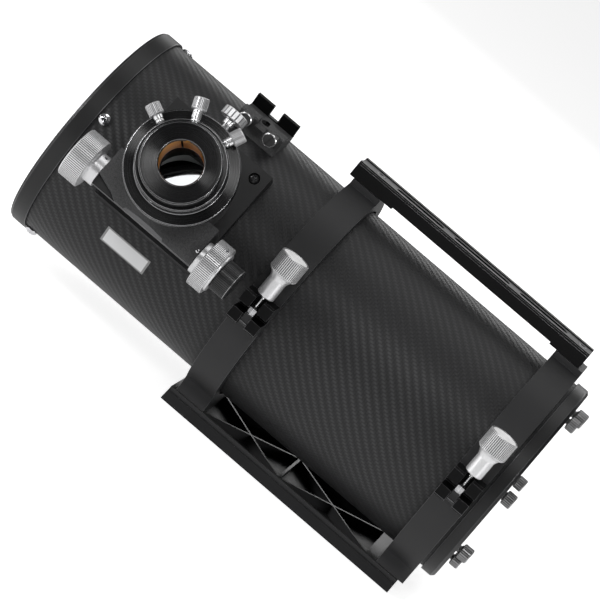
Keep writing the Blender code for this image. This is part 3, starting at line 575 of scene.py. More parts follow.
def turned(name, profile, matrix, slot=None, steps=96, radius=0.35, knurl=None):
    """A turned piece with rounded corners, from (radius, height) points.

    Points flagged "k" carry the knurl (teeth, depth, shape), and those flagged "s" stay sharp.
    """
    closed = profile[0][0] > 1e-6 or profile[-1][0] > 1e-6
    points, on_edge = rounded(profile, closed, radius if slot else 0)
    if knurl:
        teeth, depth, shape = knurl
        table = TEETH[shape]
        angles = [TAU * (k + phase) / teeth for k in range(teeth) for phase, _ in table]
        offset = [depth * f for _ in range(teeth) for _, f in table]
    else:
        angles = [TAU * k / steps for k in range(steps)]
        offset = [0.0] * steps
    bm = bmesh.new()
    loops = []
    for r, h, flag in points:
        if r < 1e-6:
            loops.append([bm.verts.new((0, 0, h * MM))])
            continue
        loop = []
        for angle, sink in zip(angles, offset):
            out = r + (sink if flag == "k" else 0)
            loop.append(bm.verts.new((out * math.cos(angle) * MM, out * math.sin(angle) * MM,
                                      h * MM)))
        loops.append(loop)
    pairs = list(zip(range(len(loops) - 1), range(1, len(loops))))
    if closed:
        pairs.append((len(loops) - 1, 0))
    count = len(angles)
    for i, j in pairs:
        a, b = loops[i], loops[j]
        if len(a) == 1 and len(b) == 1:
            continue
        knurled = knurl and points[i][2] == "k" and points[j][2] == "k"
        for k in range(count):
            m = (k + 1) % count
            if len(a) == 1:
                face = bm.faces.new((a[0], b[k], b[m]))
            elif len(b) == 1:
                face = bm.faces.new((a[k], b[0], a[m]))
            else:
                face = bm.faces.new((a[k], b[k], b[m], a[m]))
            # Knurl floors take the darker groove finish: painted shade.
            sunk = knurled and min(offset[k], offset[m]) < -0.7 * depth
            # Faces on a rounded corner take the slot's paler edge finish: a painted highlight.
            face.material_index = 1 if on_edge[i] else 2 if sunk and slot in GROOVE_SHADES else 0
    thing = new_object(name, bm, matrix, slot)
    if slot in GROOVE_SHADES:
        thing.data.materials.append(GROOVE_SHADES[slot])
    return thing


def rod(name, radius, low, high, matrix, slot=None, steps=48):
    profile = [(0, high), (radius, high), (radius, low), (0, low)]
    return turned(name, profile, matrix, slot, steps)


def prism(name, outline, low, high, matrix=WORLD, slot=None):
    bm = bmesh.new()
    base = bm.faces.new([bm.verts.new((x * MM, y * MM, low * MM)) for x, y in outline])
    made = bmesh.ops.extrude_face_region(bm, geom=[base])["geom"]
    bmesh.ops.translate(bm, verts=[v for v in made if isinstance(v, bmesh.types.BMVert)],
                        vec=(0, 0, (high - low) * MM))
    return new_object(name, bm, matrix, slot)


def block(name, low, high, matrix=WORLD, slot=None):
    outline = [(low[0], low[1]), (high[0], low[1]), (high[0], high[1]), (low[0], high[1])]
    return prism(name, outline, low[2], high[2], matrix, slot)


def cut(thing, *others, operation="DIFFERENCE"):
    for other in others:
        made = thing.modifiers.new(other.name, "BOOLEAN")
        made.operation, made.object, made.solver = operation, other, "EXACT"


def join(thing, *others):
    cut(thing, *others, operation="UNION")


def settle(thing, width=0.0):
    """Applies the modifiers, with the edges rounded by the width, and removes the cutters."""
    helpers = {m.object for m in thing.modifiers if m.type == "BOOLEAN"}
    if width:
        bevel = thing.modifiers.new("edges", "BEVEL")
        bevel.width, bevel.segments = width * MM, 2
        bevel.limit_method, bevel.angle_limit = "ANGLE", math.radians(32.0)
        # The bevel's faces take the slot's paler edge finish: a painted highlight.
        bevel.material = 1
        bevel.miter_outer = "MITER_ARC"
    bpy.context.view_layer.update()
    graph = bpy.context.evaluated_depsgraph_get()
    mesh = bpy.data.meshes.new_from_object(thing.evaluated_get(graph))
    thing.modifiers.clear()
    thing.data = mesh
    bm = bmesh.new()
    bm.from_mesh(mesh)
    bmesh.ops.remove_doubles(bm, verts=bm.verts, dist=1e-7)
    bmesh.ops.dissolve_degenerate(bm, edges=bm.edges, dist=1e-7)
    bm.to_mesh(mesh)
    bm.free()
    for helper in helpers:
        bpy.data.objects.remove(helper, do_unlink=True)
    return thing


def show(thing, node=None, on=None):
    """Shades the piece, which stands for a CAD node, or rides on the body of another one."""
    mesh = thing.data
    mesh.polygons.foreach_set("use_smooth", [True] * len(mesh.polygons))
    mesh.set_sharp_from_angle(angle=math.radians(38.0))
    if len(mesh.polygons) < 60000:
        even = thing.modifiers.new("normals", "WEIGHTED_NORMAL")
        even.keep_sharp = True
        even.weight = 60
    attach(thing, BODY_OF[on or node])
    if node:
        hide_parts(node)
    slot = CAD_SLOT_OF.get(thing.get("slot"), thing.get("slot"))
    slot in CAD_SLOTS


def recolour(thing, slot, chosen, space=None):
    """Gives the slot's face finish to the faces where chosen(face, centre, normal) holds.

    The centre and the normal are in the frame `space`, or else in the piece's own.
    """
    into = WORLD if space is None else space.inverted() @ thing.matrix_world
    which = len(thing.data.materials)
    thing.data.materials.append(LOOKS[slot][0])
    for face in thing.data.polygons:
        normal = (into.to_3x3() @ face.normal).normalized()
        if chosen(face, into @ face.center / MM, normal):
            face.material_index = which


def darken_bore(thing, radius):
    """The walls of a turned piece's bore take the flat black of a blackened hole."""
    recolour(thing, "bore_black", lambda face, centre, normal:
             math.hypot(centre.x, centre.y) < radius and abs(normal.z) < 0.5)


def refinish(thing, slot, radii, heights):
    """The faces of a turned piece between two radii and two heights take another finish."""
    recolour(thing, slot, lambda face, centre, normal:
             radii[0] < math.hypot(centre.x, centre.y) < radii[1]
             and heights[0] < centre.z < heights[1])


def thread(radius, start, end, pitch=0.7, depth=0.22):
    """V grooves between two heights, as profile points."""
    n = max(1, int(abs(end - start) / pitch))
    step = (end - start) / n
    made = []
    for i in range(n):
        made += [(radius, start + step * i, "s"), (radius - depth, start + step * (i + 0.5), "s")]
    return made + [(radius, end, "s")]


def cross(matrix, low, high, length, wide=1.0):
    """The cutter for a cross recess."""
    a, b = length / 2, wide / 2
    outline = [(a, -b), (a, b), (b, b), (b, a), (-b, a), (-b, b), (-a, b), (-a, -b), (-b, -b),
               (-b, -a), (b, -a), (b, -b)]
    return prism("cut_cross", outline, low, high, matrix)


def cross_screw(name, profile, here, turn, recess):
    """A pan-head screw whose cross recess lies between two heights."""
    screw = turned(name, profile, here, "dark_steel", 48, 0.15)
    cut(screw, cross(spun(here, turn), *recess, length=4.6))
    return settle(screw)


def hex_screw(name, profile, here, flats, recess, slot="dark_steel", steps=48, radius=0.35):
    """A screw with a hexagon socket, given by its width across flats and its two heights."""
    screw = turned(name, profile, here, slot, steps, radius)
    low, high = recess
    cut(screw, rod("cut_hex", flats / math.sqrt(3), low, high, here, steps=6))
    return settle(screw)


# ---------------------------------------------------------------- dovetail plate
half_l, half_w = PLATE_L / 2, PLATE_W / 2
TOP_HALF, NECK_Z = 43.5, 7.0  # the upper part's half width, and where the dovetail flanks end
# (y, z) outline
plate = prism(
    "wide_dovetail_plate",
    [
        (-half_w, 0), (half_w, 0), (half_w, 0.8), (45.0, NECK_Z), (TOP_HALF, NECK_Z),
        (TOP_HALF, PLATE_H), (-TOP_HALF, PLATE_H), (-TOP_HALF, NECK_Z), (-45.0, NECK_Z),
        (-half_w, 0.8),
    ],
    -half_l, half_l, frame((0, 0, 0), (1, 0, 0), (0, 1, 0)), "ring_grey",
)
# Two fields of four triangular wells, parted by diagonal ribs and a middle rib
RIB, MID_RIB_X, WELL_Y, WELL_FLOOR = 1.0, -6.0, 41.0, 2.6
wells = []
for low, high in ((-82.0, MID_RIB_X - RIB), (MID_RIB_X + RIB, 80.0)):
    mid, half = (low + high) / 2, (high - low) / 2
    inset_x = RIB * math.hypot(half, WELL_Y) / WELL_Y
    inset_y = RIB * math.hypot(half, WELL_Y) / half
    for s in (-1, 1):
        wells.append([(mid + s * half, -s * (WELL_Y - inset_y)),
                      (mid + s * half, s * (WELL_Y - inset_y)), (mid + s * inset_x, 0)])
        wells.append([(mid + s * (half - inset_x), s * WELL_Y),
                      (mid - s * (half - inset_x), s * WELL_Y), (mid, s * inset_y)])
for outline in wells:
    cut(plate, prism("cut_well", outline, WELL_FLOOR, 14.0))
for x in RING_X.values():
    cut(plate, turned("cut_foot", [(0, 14), (FOOT_SCREW_R, 14), (FOOT_SCREW_R, 6), (5.6, 6),
                                   (5.6, -2), (0, -2)], upright(x), steps=48))
settle(plate, 0.3)
# The plate's bevelled edges take a pale bare-metal colour: a painted highlight.
plate.data.materials[1] = LOOKS["plate_edge"][0]
# The upward faces of the ribs and rim take a paler finish: painted light on the top.
recolour(plate, "plate_top", lambda face, centre, normal:
         face.material_index == 0 and normal.z > 0.95 and centre.z > PLATE_H - 0.5, WORLD)
# The plate's lower side faces take the deeper black: painted shade along its underside.
recolour(plate, "shaded_black", lambda face, centre, normal:
         abs(normal.y) > 0.95 and centre.z < 1.2, WORLD)
show(plate, "dovetail_plate")


# ---------------------------------------------------------------- clamp rings
def rise(height, radius):
    """The angle at which a circle reaches a height."""
    return math.degrees(math.asin(height / radius))


SPLIT_OUT, SPLIT_IN = rise(GAP, RING_R), rise(GAP, RING_BORE_R)
PAD_DEG = math.degrees(math.acos(PAD_HALF / RING_R))
LUG_CORNER = 1.5
KNUCKLE_HALF = 4.2  # half width of the upper clamp's hinge knuckle
FOOT_SIDE = ((45.5, -92.5), (FOOT_HALF, -97.5))  # (y, z) where the ring runs into its foot


def shade_lugs(ring):
    """The milled flats of the clamp lugs take a blacker finish than the turned band: painted shade.
    """
    recolour(ring, "shaded_black", lambda face, centre, normal:
             face.material_index == 0 and centre.y < -99.6
             and LOWER_LUG[0] - 1 < centre.z - AXIS_Z < UPPER_LUG[1] + 1, WORLD)


def upper_clamp(side, x):
    lug = rise(UPPER_LUG[1], RING_R)
    upper = prism(
        f"upper_clamp_{side}",
        arc(RING_R, SPLIT_OUT, PAD_DEG, 44) + [(PAD_HALF, PAD_Z), (-PAD_HALF, PAD_Z)]
        + arc(RING_R, 180 - PAD_DEG, 180 - lug, 44)
        + [(LUG_Y + LUG_CORNER, UPPER_LUG[1]), (LUG_Y, UPPER_LUG[1] - LUG_CORNER),
           (LUG_Y, UPPER_LUG[0])]
        + arc(RING_BORE_R, 180 - SPLIT_IN, SPLIT_IN, 110),
        -RING_W / 2, RING_W / 2, along(x), "ring_grey",
    )
    join(upper, prism("add_knuckle",
                      [(KNUCKLE_Y, GAP), (HINGE_Y - HINGE_R * 0.9, GAP)]
                      + arc(HINGE_R, -155, 90, 28, (HINGE_Y, 0)) + [(KNUCKLE_Y, HINGE_R)],
                      -KNUCKLE_HALF, KNUCKLE_HALF, along(x)))
    cut(upper,
        block("cut_slot", (x - SLOT_HALF, LUG_Y - 2, AXIS_Z - 1),
              (x + SLOT_HALF, SLOT_END_Y, AXIS_Z + 12)),
        rod("cut_hinge", HINGE_PIN_R + GAP, -15, 15, along(x, HINGE_Y)),
        rod("cut_rail_screw", RAIL_SCREW_R, 94.0, 105.0, upright(x, AXIS_Z)))
    settle(upper, 0.4)
    shade_lugs(upper)
    show(upper, f"ring_upper_{side}")


def lower_clamp(side, x):
    top, low = rise(-LOWER_LUG[1], RING_R), rise(-LOWER_LUG[0], RING_R)
    foot_z = PLATE_H + GAP - AXIS_Z
    lower = prism(
        f"lower_clamp_{side}",
        arc(RING_BORE_R, -SPLIT_IN, -180 + SPLIT_IN, 110)
        + arc(RING_R, 180 + SPLIT_OUT, 180 + top, 3)
        + [(LUG_Y, LOWER_LUG[1]), (LUG_Y, LOWER_LUG[0] + LUG_CORNER),
           (LUG_Y + LUG_CORNER, LOWER_LUG[0])]
        + arc(RING_R, 180 + low, 240, 30)
        + [(-y, z) for y, z in FOOT_SIDE]
        + [(-FOOT_HALF, foot_z), (FOOT_HALF, foot_z), *FOOT_SIDE[::-1]]
        + arc(RING_R, 300, 360 - SPLIT_OUT, 40),
        -RING_W / 2, RING_W / 2, along(x), "ring_grey",
    )
    knuckle_gap = KNUCKLE_HALF + GAP
    for start, end in ((-RING_W / 2, -knuckle_gap), (knuckle_gap, RING_W / 2)):
        join(lower, prism("add_knuckle",
                          [(KNUCKLE_Y, -HINGE_R)] + arc(HINGE_R, -90, 155, 28, (HINGE_Y, 0))
                          + [(HINGE_Y - HINGE_R * 0.9, -GAP), (KNUCKLE_Y, -GAP)],
                          start, end, along(x)))
    cut(lower,
        block("cut_slot", (x - SLOT_HALF, LUG_Y - 2, AXIS_Z - 18),
              (x + SLOT_HALF, SLOT_END_Y, AXIS_Z - 1)),
        rod("cut_hinge", HINGE_PIN_R + GAP, -15, 15, along(x, HINGE_Y)),
        rod("cut_pivot", 2.3, -15, 15, along(x, BOLT_Y, PIVOT_Z)),
        rod("cut_foot", FOOT_SCREW_R, 8.0, 19.4, upright(x)))
    settle(lower, 0.4)
    shade_lugs(lower)
    show(lower, f"ring_lower_{side}")


def swing_bolt(side, x, here):
    bolt = turned(f"eye_bolt_{side}",
                  [(0, 40), (1.4, 40)] + thread(1.9, 39.5, 3.0, pitch=0.8, depth=0.25)
                  + [(1.9, 2.0), (0, 2.0)], here, "steel", 36)
    join(bolt, turned("add_hex_shank",
                      [(0, 2.9), (1.7, 2.9), (3.35, 1.2), (3.35, -4.4), (0, -4.4)],
                      spun(here, math.radians(-90)), steps=6))
    show(settle(bolt, 0.15), f"swing_bolt_{side}")
    # The eye, in the lower lug's slot, is blackened.
    eye = prism(f"bolt_eye_{side}",
                [(-2.9, -4.4), (-2.9, PIVOT_Z)] + arc(3.4, 200, 340, 20, (0, PIVOT_Z))
                + [(2.9, PIVOT_Z), (2.9, -4.4)],
                -3.1, 3.1, frame((x, BOLT_Y, AXIS_Z), (1, 0, 0), (0, 1, 0)), "dark_steel")
    cut(eye, rod("cut_eye", 2.3, -5, 5, along(x, BOLT_Y, PIVOT_Z)))
    show(settle(eye, 0.25), on=f"swing_bolt_{side}")


def clamp_knob(side, here):
    grip = turned(
        f"clamp_grip_{side}",
        [(0, 49.0), (10.2, 49.0), (10.5, 49.6), (11.1, 49.6), (11.75, 49.0, "s"),
         (11.75, 48.8, "k"), (11.75, 34.9, "k"), (11.75, 34.6, "s"), (10.6, 33.2), (9.0, 32.4),
         (7.9, 30.4), (7.1, 28.0), (7.1, 13.8), (6.6, 13.2), (2.2, 13.2), (2.2, 41.0), (0, 41.0)],
        here, "silver", radius=0.3, knurl=(48, 0.42, "straight"))
    refinish(grip, "satin_silver", (6.5, 11.0), (13.0, 34.0))
    show(grip, f"clamp_knob_{side}")
    # The turned face inside the knob's rim is brighter than its sides, partly from a faint painted
    # glow in its finish.
    show(turned(f"clamp_face_{side}", [(0, 49.14), (10.0, 49.14), (10.1, 49.04), (0, 49.04)],
                here, "faced_white", radius=0.0), on=f"clamp_knob_{side}")


for side, x in RING_X.items():
    upper_clamp(side, x)
    lower_clamp(side, x)
    show(rod(f"pin_hinge_{side}", HINGE_PIN_R, -13.6, 13.6, along(x, HINGE_Y), "steel"),
         f"hinge_pin_{side}")
    show(rod(f"pin_pivot_{side}", 2.0, -12.8, 12.8, along(x, BOLT_Y, PIVOT_Z), "dark_steel"),
         f"clamp_pivot_{side}")
    show(prism(f"felt_lining_{side}",
               arc(FELT_R0, -178.5, 178.5, 180)[::-1] + arc(FELT_R1, -178.5, 178.5, 180),
               -FELT_W / 2, FELT_W / 2, along(x), "felt"), f"felt_{side}")
    show(hex_screw(f"plate_screw_{side}",
                   [(0, 18.3), (2.8, 18.3), (2.8, 5.7), (5.0, 5.7), (5.0, 0.9), (0, 0.9)],
                   upright(x), flats=5.0, recess=(0, 3.4)), f"foot_screw_{side}")
    bolt_frame = upright(x, AXIS_Z, BOLT_Y)
    swing_bolt(side, x, bolt_frame)
    clamp_knob(side, bolt_frame)
    show(hex_screw(f"rail_cap_screw_{side}",
                   [(0, 116.2), (4.0, 116.2), (4.0, 112.3), (2.5, 112.3), (2.5, 95.2), (0, 95.2)],
                   upright(x, AXIS_Z), flats=4.0, recess=(113.4, 118)), f"rail_screw_{side}")

# ---------------------------------------------------------------- handle rail
SHOULDER, LIP = RAIL_HALF - 1.4, 1.2
# (y, z) outline, with a shallow channel along the top
rail = prism(
    "handle_rail",
    [
        (-RAIL_HALF, RAIL_Z0), (RAIL_HALF, RAIL_Z0), (RAIL_HALF, RAIL_Z1 - 2.6),
        (SHOULDER, RAIL_Z1 - LIP), (SHOULDER, RAIL_Z1), (9.5, RAIL_Z1), (8.7, RAIL_Z1 - 1.1),
        (-8.7, RAIL_Z1 - 1.1), (-9.5, RAIL_Z1), (-SHOULDER, RAIL_Z1), (-SHOULDER, RAIL_Z1 - LIP),
        (-RAIL_HALF, RAIL_Z1 - 2.6),
    ],
    -RAIL_L / 2, RAIL_L / 2, along(), "rail_black",
)
cut(rail, block("cut_under", (-71, -20, AXIS_Z + RAIL_Z0 - 2), (83, 20, AXIS_Z + RAIL_Z0 + 1.6)))
GROOVE_R, RAIL_GROOVES = 4.5, ((-78, -32), (-22, 32), (42, 88))
for start, end in RAIL_GROOVES:
    cut(rail, prism("cut_groove", arc(GROOVE_R, 90, 270, 16, (start + GROOVE_R, 0))
                    + arc(GROOVE_R, -90, 90, 16, (end - GROOVE_R, 0)),
                    AXIS_Z + RAIL_Z1 - 6, AXIS_Z + RAIL_Z1 + 2))
for x in RING_X.values():
    cut(rail, turned("cut_bore", [(0, 120), (4.4, 120), (4.4, 112), (RAIL_SCREW_R, 112),
                                  (RAIL_SCREW_R, 100), (0, 100)], upright(x, AXIS_Z), steps=48))
settle(rail, 0.35)
# The top takes a paler black than the deep black sides: painted light on the upward faces.
recolour(rail, "satin_black", lambda face, centre, normal:
         face.material_index == 0 and normal.z > 0.9, WORLD)
show(rail, "top_rail")

# ---------------------------------------------------------------- tube and its ends
bore = TUBE_R - TUBE_WALL
focuser = around(FOCUSER_DEG, FOCUSER_X)
base_screw_frame = at(focuser, 36.0, 37.0, 0)
shoe_frame = around(SHOE_DEG, SHOE_X)
vane_frames = [around(FOCUSER_DEG + 90 * k, VANE_X) for k in range(4)]
tube = turned("carbon_tube",
              [(bore, TUBE_X1), (TUBE_R, TUBE_X1), (TUBE_R, TUBE_X0), (bore, TUBE_X0)],
              along(), "carbon", 240, 0.0)
cut(tube, rod("cut_port", PORT_R, 60, 110, focuser),
    rod("cut_base_screw", TAP_R, 70, 95, base_screw_frame, steps=20),
    rod("cut_shoe", TAP_R, 80, 95, shoe_frame, steps=20),
    *(rod("cut_vane", TAP_R, 80.5, 100, here, steps=20) for here in vane_frames))
settle(tube)
tube.data.materials[1] = LOOKS["matte_black"][0]
for face in tube.data.polygons:
    inside = math.hypot(face.center.x, face.center.y) < (TUBE_R - 0.6) * MM
    face.material_index = 1 if inside else 0
show(tube, "optical_tube")

show(turned(
    "front_rim",
    [
        (84.6, FRONT_X + 11), (86.2, FRONT_X + 11), (86.2, FRONT_X + 3), (89.3, FRONT_X + 3),
        (89.3, FRONT_RING_X), (END_R, FRONT_RING_X), (END_R, FRONT_X + 2.0),
        (90.6, FRONT_X + 1.2), (90.2, FRONT_X), (85.6, FRONT_X), (84.6, FRONT_X + 1.0),
    ],
    along(), "satin_black", 240, 0.5), "front_end_ring")
rear_rim = turned(
    "rear_rim",
    [
        (45.0, REAR_X), (88.6, REAR_X), (90.4, REAR_X - 1.6), (91.0, REAR_X - 2.4),
        (91.0, REAR_RING_X), (89.3, REAR_RING_X), (89.3, REAR_X - 7), (86.2, REAR_X - 7),
        (86.2, 104.0), (83.2, 104.0), (83.2, REAR_X - 7), (45.0, REAR_X - 7),
    ],
    along(), "satin_black", 240, 0.45)
# A knob's hole and a lock screw's hole at each of the cell's three stations
for deg in CELL_DEGS:
    for offset, radius in ((0.0, 3.3), (CELL_LOCK_DEG, 2.8)):
        here = along(0, *polar(CELL_R, 180 - deg + offset))
        cut(rear_rim, rod("cut_back", radius, 103.6, 140, here))
show(settle(rear_rim), "rear_end_ring")

# ---------------------------------------------------------------- spider and diagonal
HUB_R, VANE_HALF, FOOT_R, VANE_FOOT_HALF, VANE_END = 17.0, 0.8, 79.0, 6.0, 85.9
hub_deg = rise(VANE_HALF, HUB_R)
vane_root = HUB_R * math.cos(math.radians(hub_deg))
# One vane and its foot on the tube, as (distance from the axis, distance across)
VANE_SIDE = (
    (vane_root, -VANE_HALF), (FOOT_R, -VANE_HALF), (FOOT_R, -VANE_FOOT_HALF),
    (VANE_END, -VANE_FOOT_HALF), (VANE_END, VANE_FOOT_HALF), (FOOT_R, VANE_FOOT_HALF),
    (FOOT_R, VANE_HALF), (vane_root, VANE_HALF),
)
arms = []
for k in range(4):
    deg = -FOCUSER_DEG + 180 + 90 * k
    out_x, out_y = polar(1, deg)
    arms += [(out_x * r - out_y * t, out_y * r + out_x * t) for r, t in VANE_SIDE]
    arms += arc(HUB_R, deg + hub_deg, deg + 90 - hub_deg, 16)[1:-1]
vanes = prism("spider_vanes", arms, SPIDER_X0, SPIDER_X1, along(), "satin_black")
cut(vanes, rod("cut_stem", 4.3, SPIDER_X0 - 2, SPIDER_X1 + 2, along()))
for k, here in enumerate(vane_frames):
    cut(vanes, rod("cut_vane", TAP_R, 80.5, 100, here, steps=20))
    head = turned(
        f"pan_screw_{k + 1}",
        [(0, 92.7), (1.6, 92.55), (3.0, 92.1), (4.2, 91.3), (4.85, 90.3), (5.0, 89.4), (2.0, 89.4),
         (2.0, 81.2), (0, 81.2)],
        here, "chrome", 48, 0.15)
    cut(head, cross(spun(here, 0.5 + 0.7 * k), 91.0, 94.0, length=5.0),
        turned("cut_dimple", [(0, 94), (1.5, 94), (1.2, 91.4), (0, 90.9)], here, steps=24))
    show(settle(head), f"vane_screw_{k + 1}")
for k in range(3):
    here = along(0, *polar(10.5, 90 + 120 * k))
    cut(vanes, rod("cut_secondary", TAP_R, SPIDER_X0 - 2, SPIDER_X1 + 2, here, steps=20))
    show(hex_screw(f"diagonal_screw_{k + 1}",
                   [(0, -257.3), (2.0, -257.3), (2.0, -277.6), (3.6, -277.6), (3.6, -281.5),
                    (0, -281.5)],
                   here, flats=2.5, recess=(-283.0, -279.5), steps=40, radius=0.25),
         f"secondary_screw_{k + 1}")
show(settle(vanes, 0.15), "spider")

tilt = direction(FOCUSER_DEG)
BACK_DEPTH = DIAGONAL_T * math.sqrt(2)  # the diagonal's thickness measured along the tube


def slanted_disc(name, radius, face_depth, back_x, slot):
    """A disc cut at 45 degrees, its face this far ahead of the mirror's plane along -X.

    back_x gives the back's X from that of the mirror's plane.
    """
    bm = bmesh.new()
    n = 96
    rim = [polar(radius, 360 * i / n) for i in range(n)]
    planes = [(y, z, FOCUSER_X - (tilt.y * y + tilt.z * z)) for y, z in rim]
    face, back = (
        [bm.verts.new((place(x) * MM, y * MM, (AXIS_Z + z) * MM)) for y, z, x in planes]
        for place in (lambda x: x - face_depth, back_x)
    )
    bm.faces.new(face)
    bm.faces.new(back[::-1])
    for i in range(n):
        j = (i + 1) % n
        bm.faces.new((face[j], face[i], back[i], back[j])).material_index = 1
    return new_object(name, bm, WORLD, slot)


show(slanted_disc("diagonal_mirror", DIAGONAL_R, 0.0, lambda x: x - BACK_DEPTH, "mirror"),
     "secondary_mirror")
holder = slanted_disc("diagonal_holder", 29.0, BACK_DEPTH + 0.5, lambda x: -257.0, "matte_black")
join(holder, rod("add_stem", 4.0, -282.0, -250.0, along()))
show(settle(holder), "secondary_holder")

# ---------------------------------------------------------------- focuser
# In the focuser's frame X runs along the tube, Y upwards across it and Z outwards.
base = block("focuser_plate", (-BASE_HALF, -BASE_HALF, 78.0), (BASE_HALF, BASE_HALF, BASE_TOP),
             focuser, "satin_black")
cut(base,
    rod("cut_saddle", TUBE_R + GAP, -330, 60, along(), steps=240),
    rod("cut_port", PORT_R, 60, 110, focuser),
    turned("cut_screw", [(0, 104), (4.4, 104), (4.4, 97.0), (TAP_R, 97.0), (TAP_R, 72), (0, 72)],
           base_screw_frame, steps=48))
show(settle(base, 0.5), "focuser_base")
show(cross_screw("base_pan_screw",
                 [(0, 100.1), (1.3, 100.05), (2.6, 99.8), (3.6, 99.3), (4.0, 98.7), (4.0, 97.3),
                  (2.0, 97.3), (2.0, 76.5), (0, 76.5)],
                 base_screw_frame, turn=0.4, recess=(98.4, 102.0)), "base_screw")

RELIEF_Z = 137.0
slope = Vector((0, -1, 1))  # across the block's lower outer corner
lock_frame = at(focuser, 0, 0, LOCK_Z, "Y")
pinion = at(focuser, 0, PINION_Y, PINION_Z, "X")
# (y, z) outline of the block
body = prism(
    "focuser_block",
    [(-39.0, BLOCK_LOW), (-13.0, BLOCK_LOW), (-13.0, 141.0), (-46.0, 141.0), (-46.0, 129.5),
     (-39.0, 118.0)],
    -BASE_HALF, BASE_HALF, at(focuser, 0, 0, 0, "X"), "textured_black",
)
join(body, rod("add_housing", HOUSING_R, BLOCK_LOW, HOUSING_TOP, focuser, steps=120))
cut(body,
    rod("cut_housing_bore", DRAW_R + GAP, 95, 160, focuser, steps=120),
    rod("cut_pinion_bore", ROLLER_R + 0.35, -60, 60, pinion),
    rod("cut_lock_bore", 3.3, 25, 60, lock_frame),
    # The relief at the left-hand end, and the notch along the lower outer corner
    prism("cut_relief", [(-50, -36.4), (-46.5, -37.4), (-31, -42.4), (-23.5, -46.8), (-23.5, -50),
                         (-50, -50)], RELIEF_Z, 145.0, focuser),
    prism("cut_notch", [(-22.5, -4.0), (26.5, -4.0), (19.0, 2.4), (8.0, 3.0), (-4.0, 3.0),
                        (-15.0, 2.4)], 0.0, 6.0,
          frame(focuser @ Vector((0, -45.2 * MM, 138.6 * MM)) / MM,
                focuser.to_3x3() @ slope, (1, 0, 0))))
settle(body, 0.45)
slope.normalize()
recolour(body, "satin_black", lambda face, centre, normal:
         centre.x < -20 and centre.y < -34 and abs(centre.z - RELIEF_Z) < 0.6
         and normal.z > 0.9, focuser)
# The notch's floor and the lower flanks take a paler finish; on the lower flanks, which sit in
# shade, it is painted light
recolour(body, "block_chamfer", lambda face, centre, normal:
         (centre.z > 128.5 and centre.y < -41.0 and face.area > 1e-5 and normal.dot(slope) > 0.98)
         or (centre.y < -38.0 and normal.y < -0.5 and normal.z < 0.3), focuser)
show(body, "focuser_body")

draw = turned("drawtube_skin",
              [(DRAW_BORE, 166.0), (DRAW_R, 166.0), (DRAW_R, 72.0), (DRAW_BORE, 72.0)],
              focuser, "satin_black", 120)
# The flat that the pinion's roller runs on
cut(draw, block("cut_flat", (-20, -40, 60), (20, PINION_Y + ROLLER_R + 0.1, 158.0), focuser))
settle(draw)
darken_bore(draw, 28.0)
show(draw, "drawtube")

# Thumbscrews: angle and height on the focuser, and the radii of their tip and of the face
# they enter. The middle one holds the eyepiece holder, and the others the flange.
THUMB_SCREWS = ((156.0, 178.4, 25.9, 33.5), (113.0, 187.9, 17.5, 30.2), (68.0, 178.4, 25.9, 33.5))
thumb_frames = [radial(focuser, height, deg) for deg, height, _, _ in THUMB_SCREWS]
THUMB_HOLE_R = 2.5
collar_frame = radial(focuser, 178.8, 270.0)

flange = turned(
    "focus_flange",
    [
        (25.7, 184.0), (32.6, 184.0), (33.5, 183.1), (33.5, 173.6), (33.9, 173.0), (41.3, 171.6),
        (42.0, 170.9), (42.0, 163.2), (40.5, 160.3), (30.3, 160.3), (30.3, 166.3), (25.7, 166.3),
    ],
    focuser, "gloss_black", 200, 0.45)
cut(flange, *(rod("cut_thumb", THUMB_HOLE_R, 10, 50, thumb_frames[i], steps=28) for i in (0, 2)),
    # A small set screw's hole in the lower side of the collar
    rod("cut_set", 2.1, 28.5, 46, collar_frame, steps=24))
settle(flange)
darken_bore(flange, 26.5)
show(flange, "clamp_flange")
adapter = turned(
    "eyepiece_holder",
    [
        (EYE_R, 188.9), (EYE_R, 189.6), (16.9, 190.5), (25.6, 192.2), (28.9, 192.2), (29.9, 191.4),
        (30.2, 190.4), (30.2, 184.3), (25.4, 184.3), (25.4, 150.0), (EYE_R, 150.0),
        (EYE_R, 161.7), (17.3, 161.7), (17.3, 188.6), (EYE_R, 188.6),
    ],
    focuser, "gloss_black", 200, 0.35)
cut(adapter, rod("cut_thumb", THUMB_HOLE_R, 10, 50, thumb_frames[1], steps=28))
settle(adapter)
darken_bore(adapter, 17.4)
show(adapter, "eyepiece_adapter")
# The spring sleeve is split, and its slit lies near the middle thumbscrew.
SLIT_DEG, SLIT_HALF_DEG = 129.0, math.degrees(0.8 / 16.5)
slit_ends = SLIT_DEG + SLIT_HALF_DEG, SLIT_DEG + 360 - SLIT_HALF_DEG
show(prism("brass_band", arc(17.0, *slit_ends, 96) + arc(16.15, *slit_ends[::-1], 96),
           162.0, 188.3, focuser, "brass"), "compression_ring")

for i, (here, (_, _, tip, face)) in enumerate(zip(thumb_frames, THUMB_SCREWS)):
    screw = turned(
        f"grip_screw_{i + 1}",
        [(0, 49.0), (2.0, 49.0), (5.0, 49.0), (5.6, 48.4, "s"), (5.6, 48.2, "k"), (5.6, 41.0, "k"),
         (5.6, 40.8, "s"), (5.1, 40.2), (3.6, 40.0), (3.4, 39.7), (3.4, face + 3.6),
         (2.9, face + 3.2), (2.9, face + 2.6), (3.2, face + 2.2), (3.2, face + 1.2),
         (2.2, face + 0.8)] + thread(2.2, face + 0.4, tip + 0.4, depth=0.2)
        + [(1.8, tip), (0, tip)],
        here, "silver", radius=0.22, knurl=(30, 0.36, "straight"))
    refinish(screw, "polished", (1.9, 3.7), (10.0, 40.1))
    show(screw, f"thumb_screw_{i + 1}")

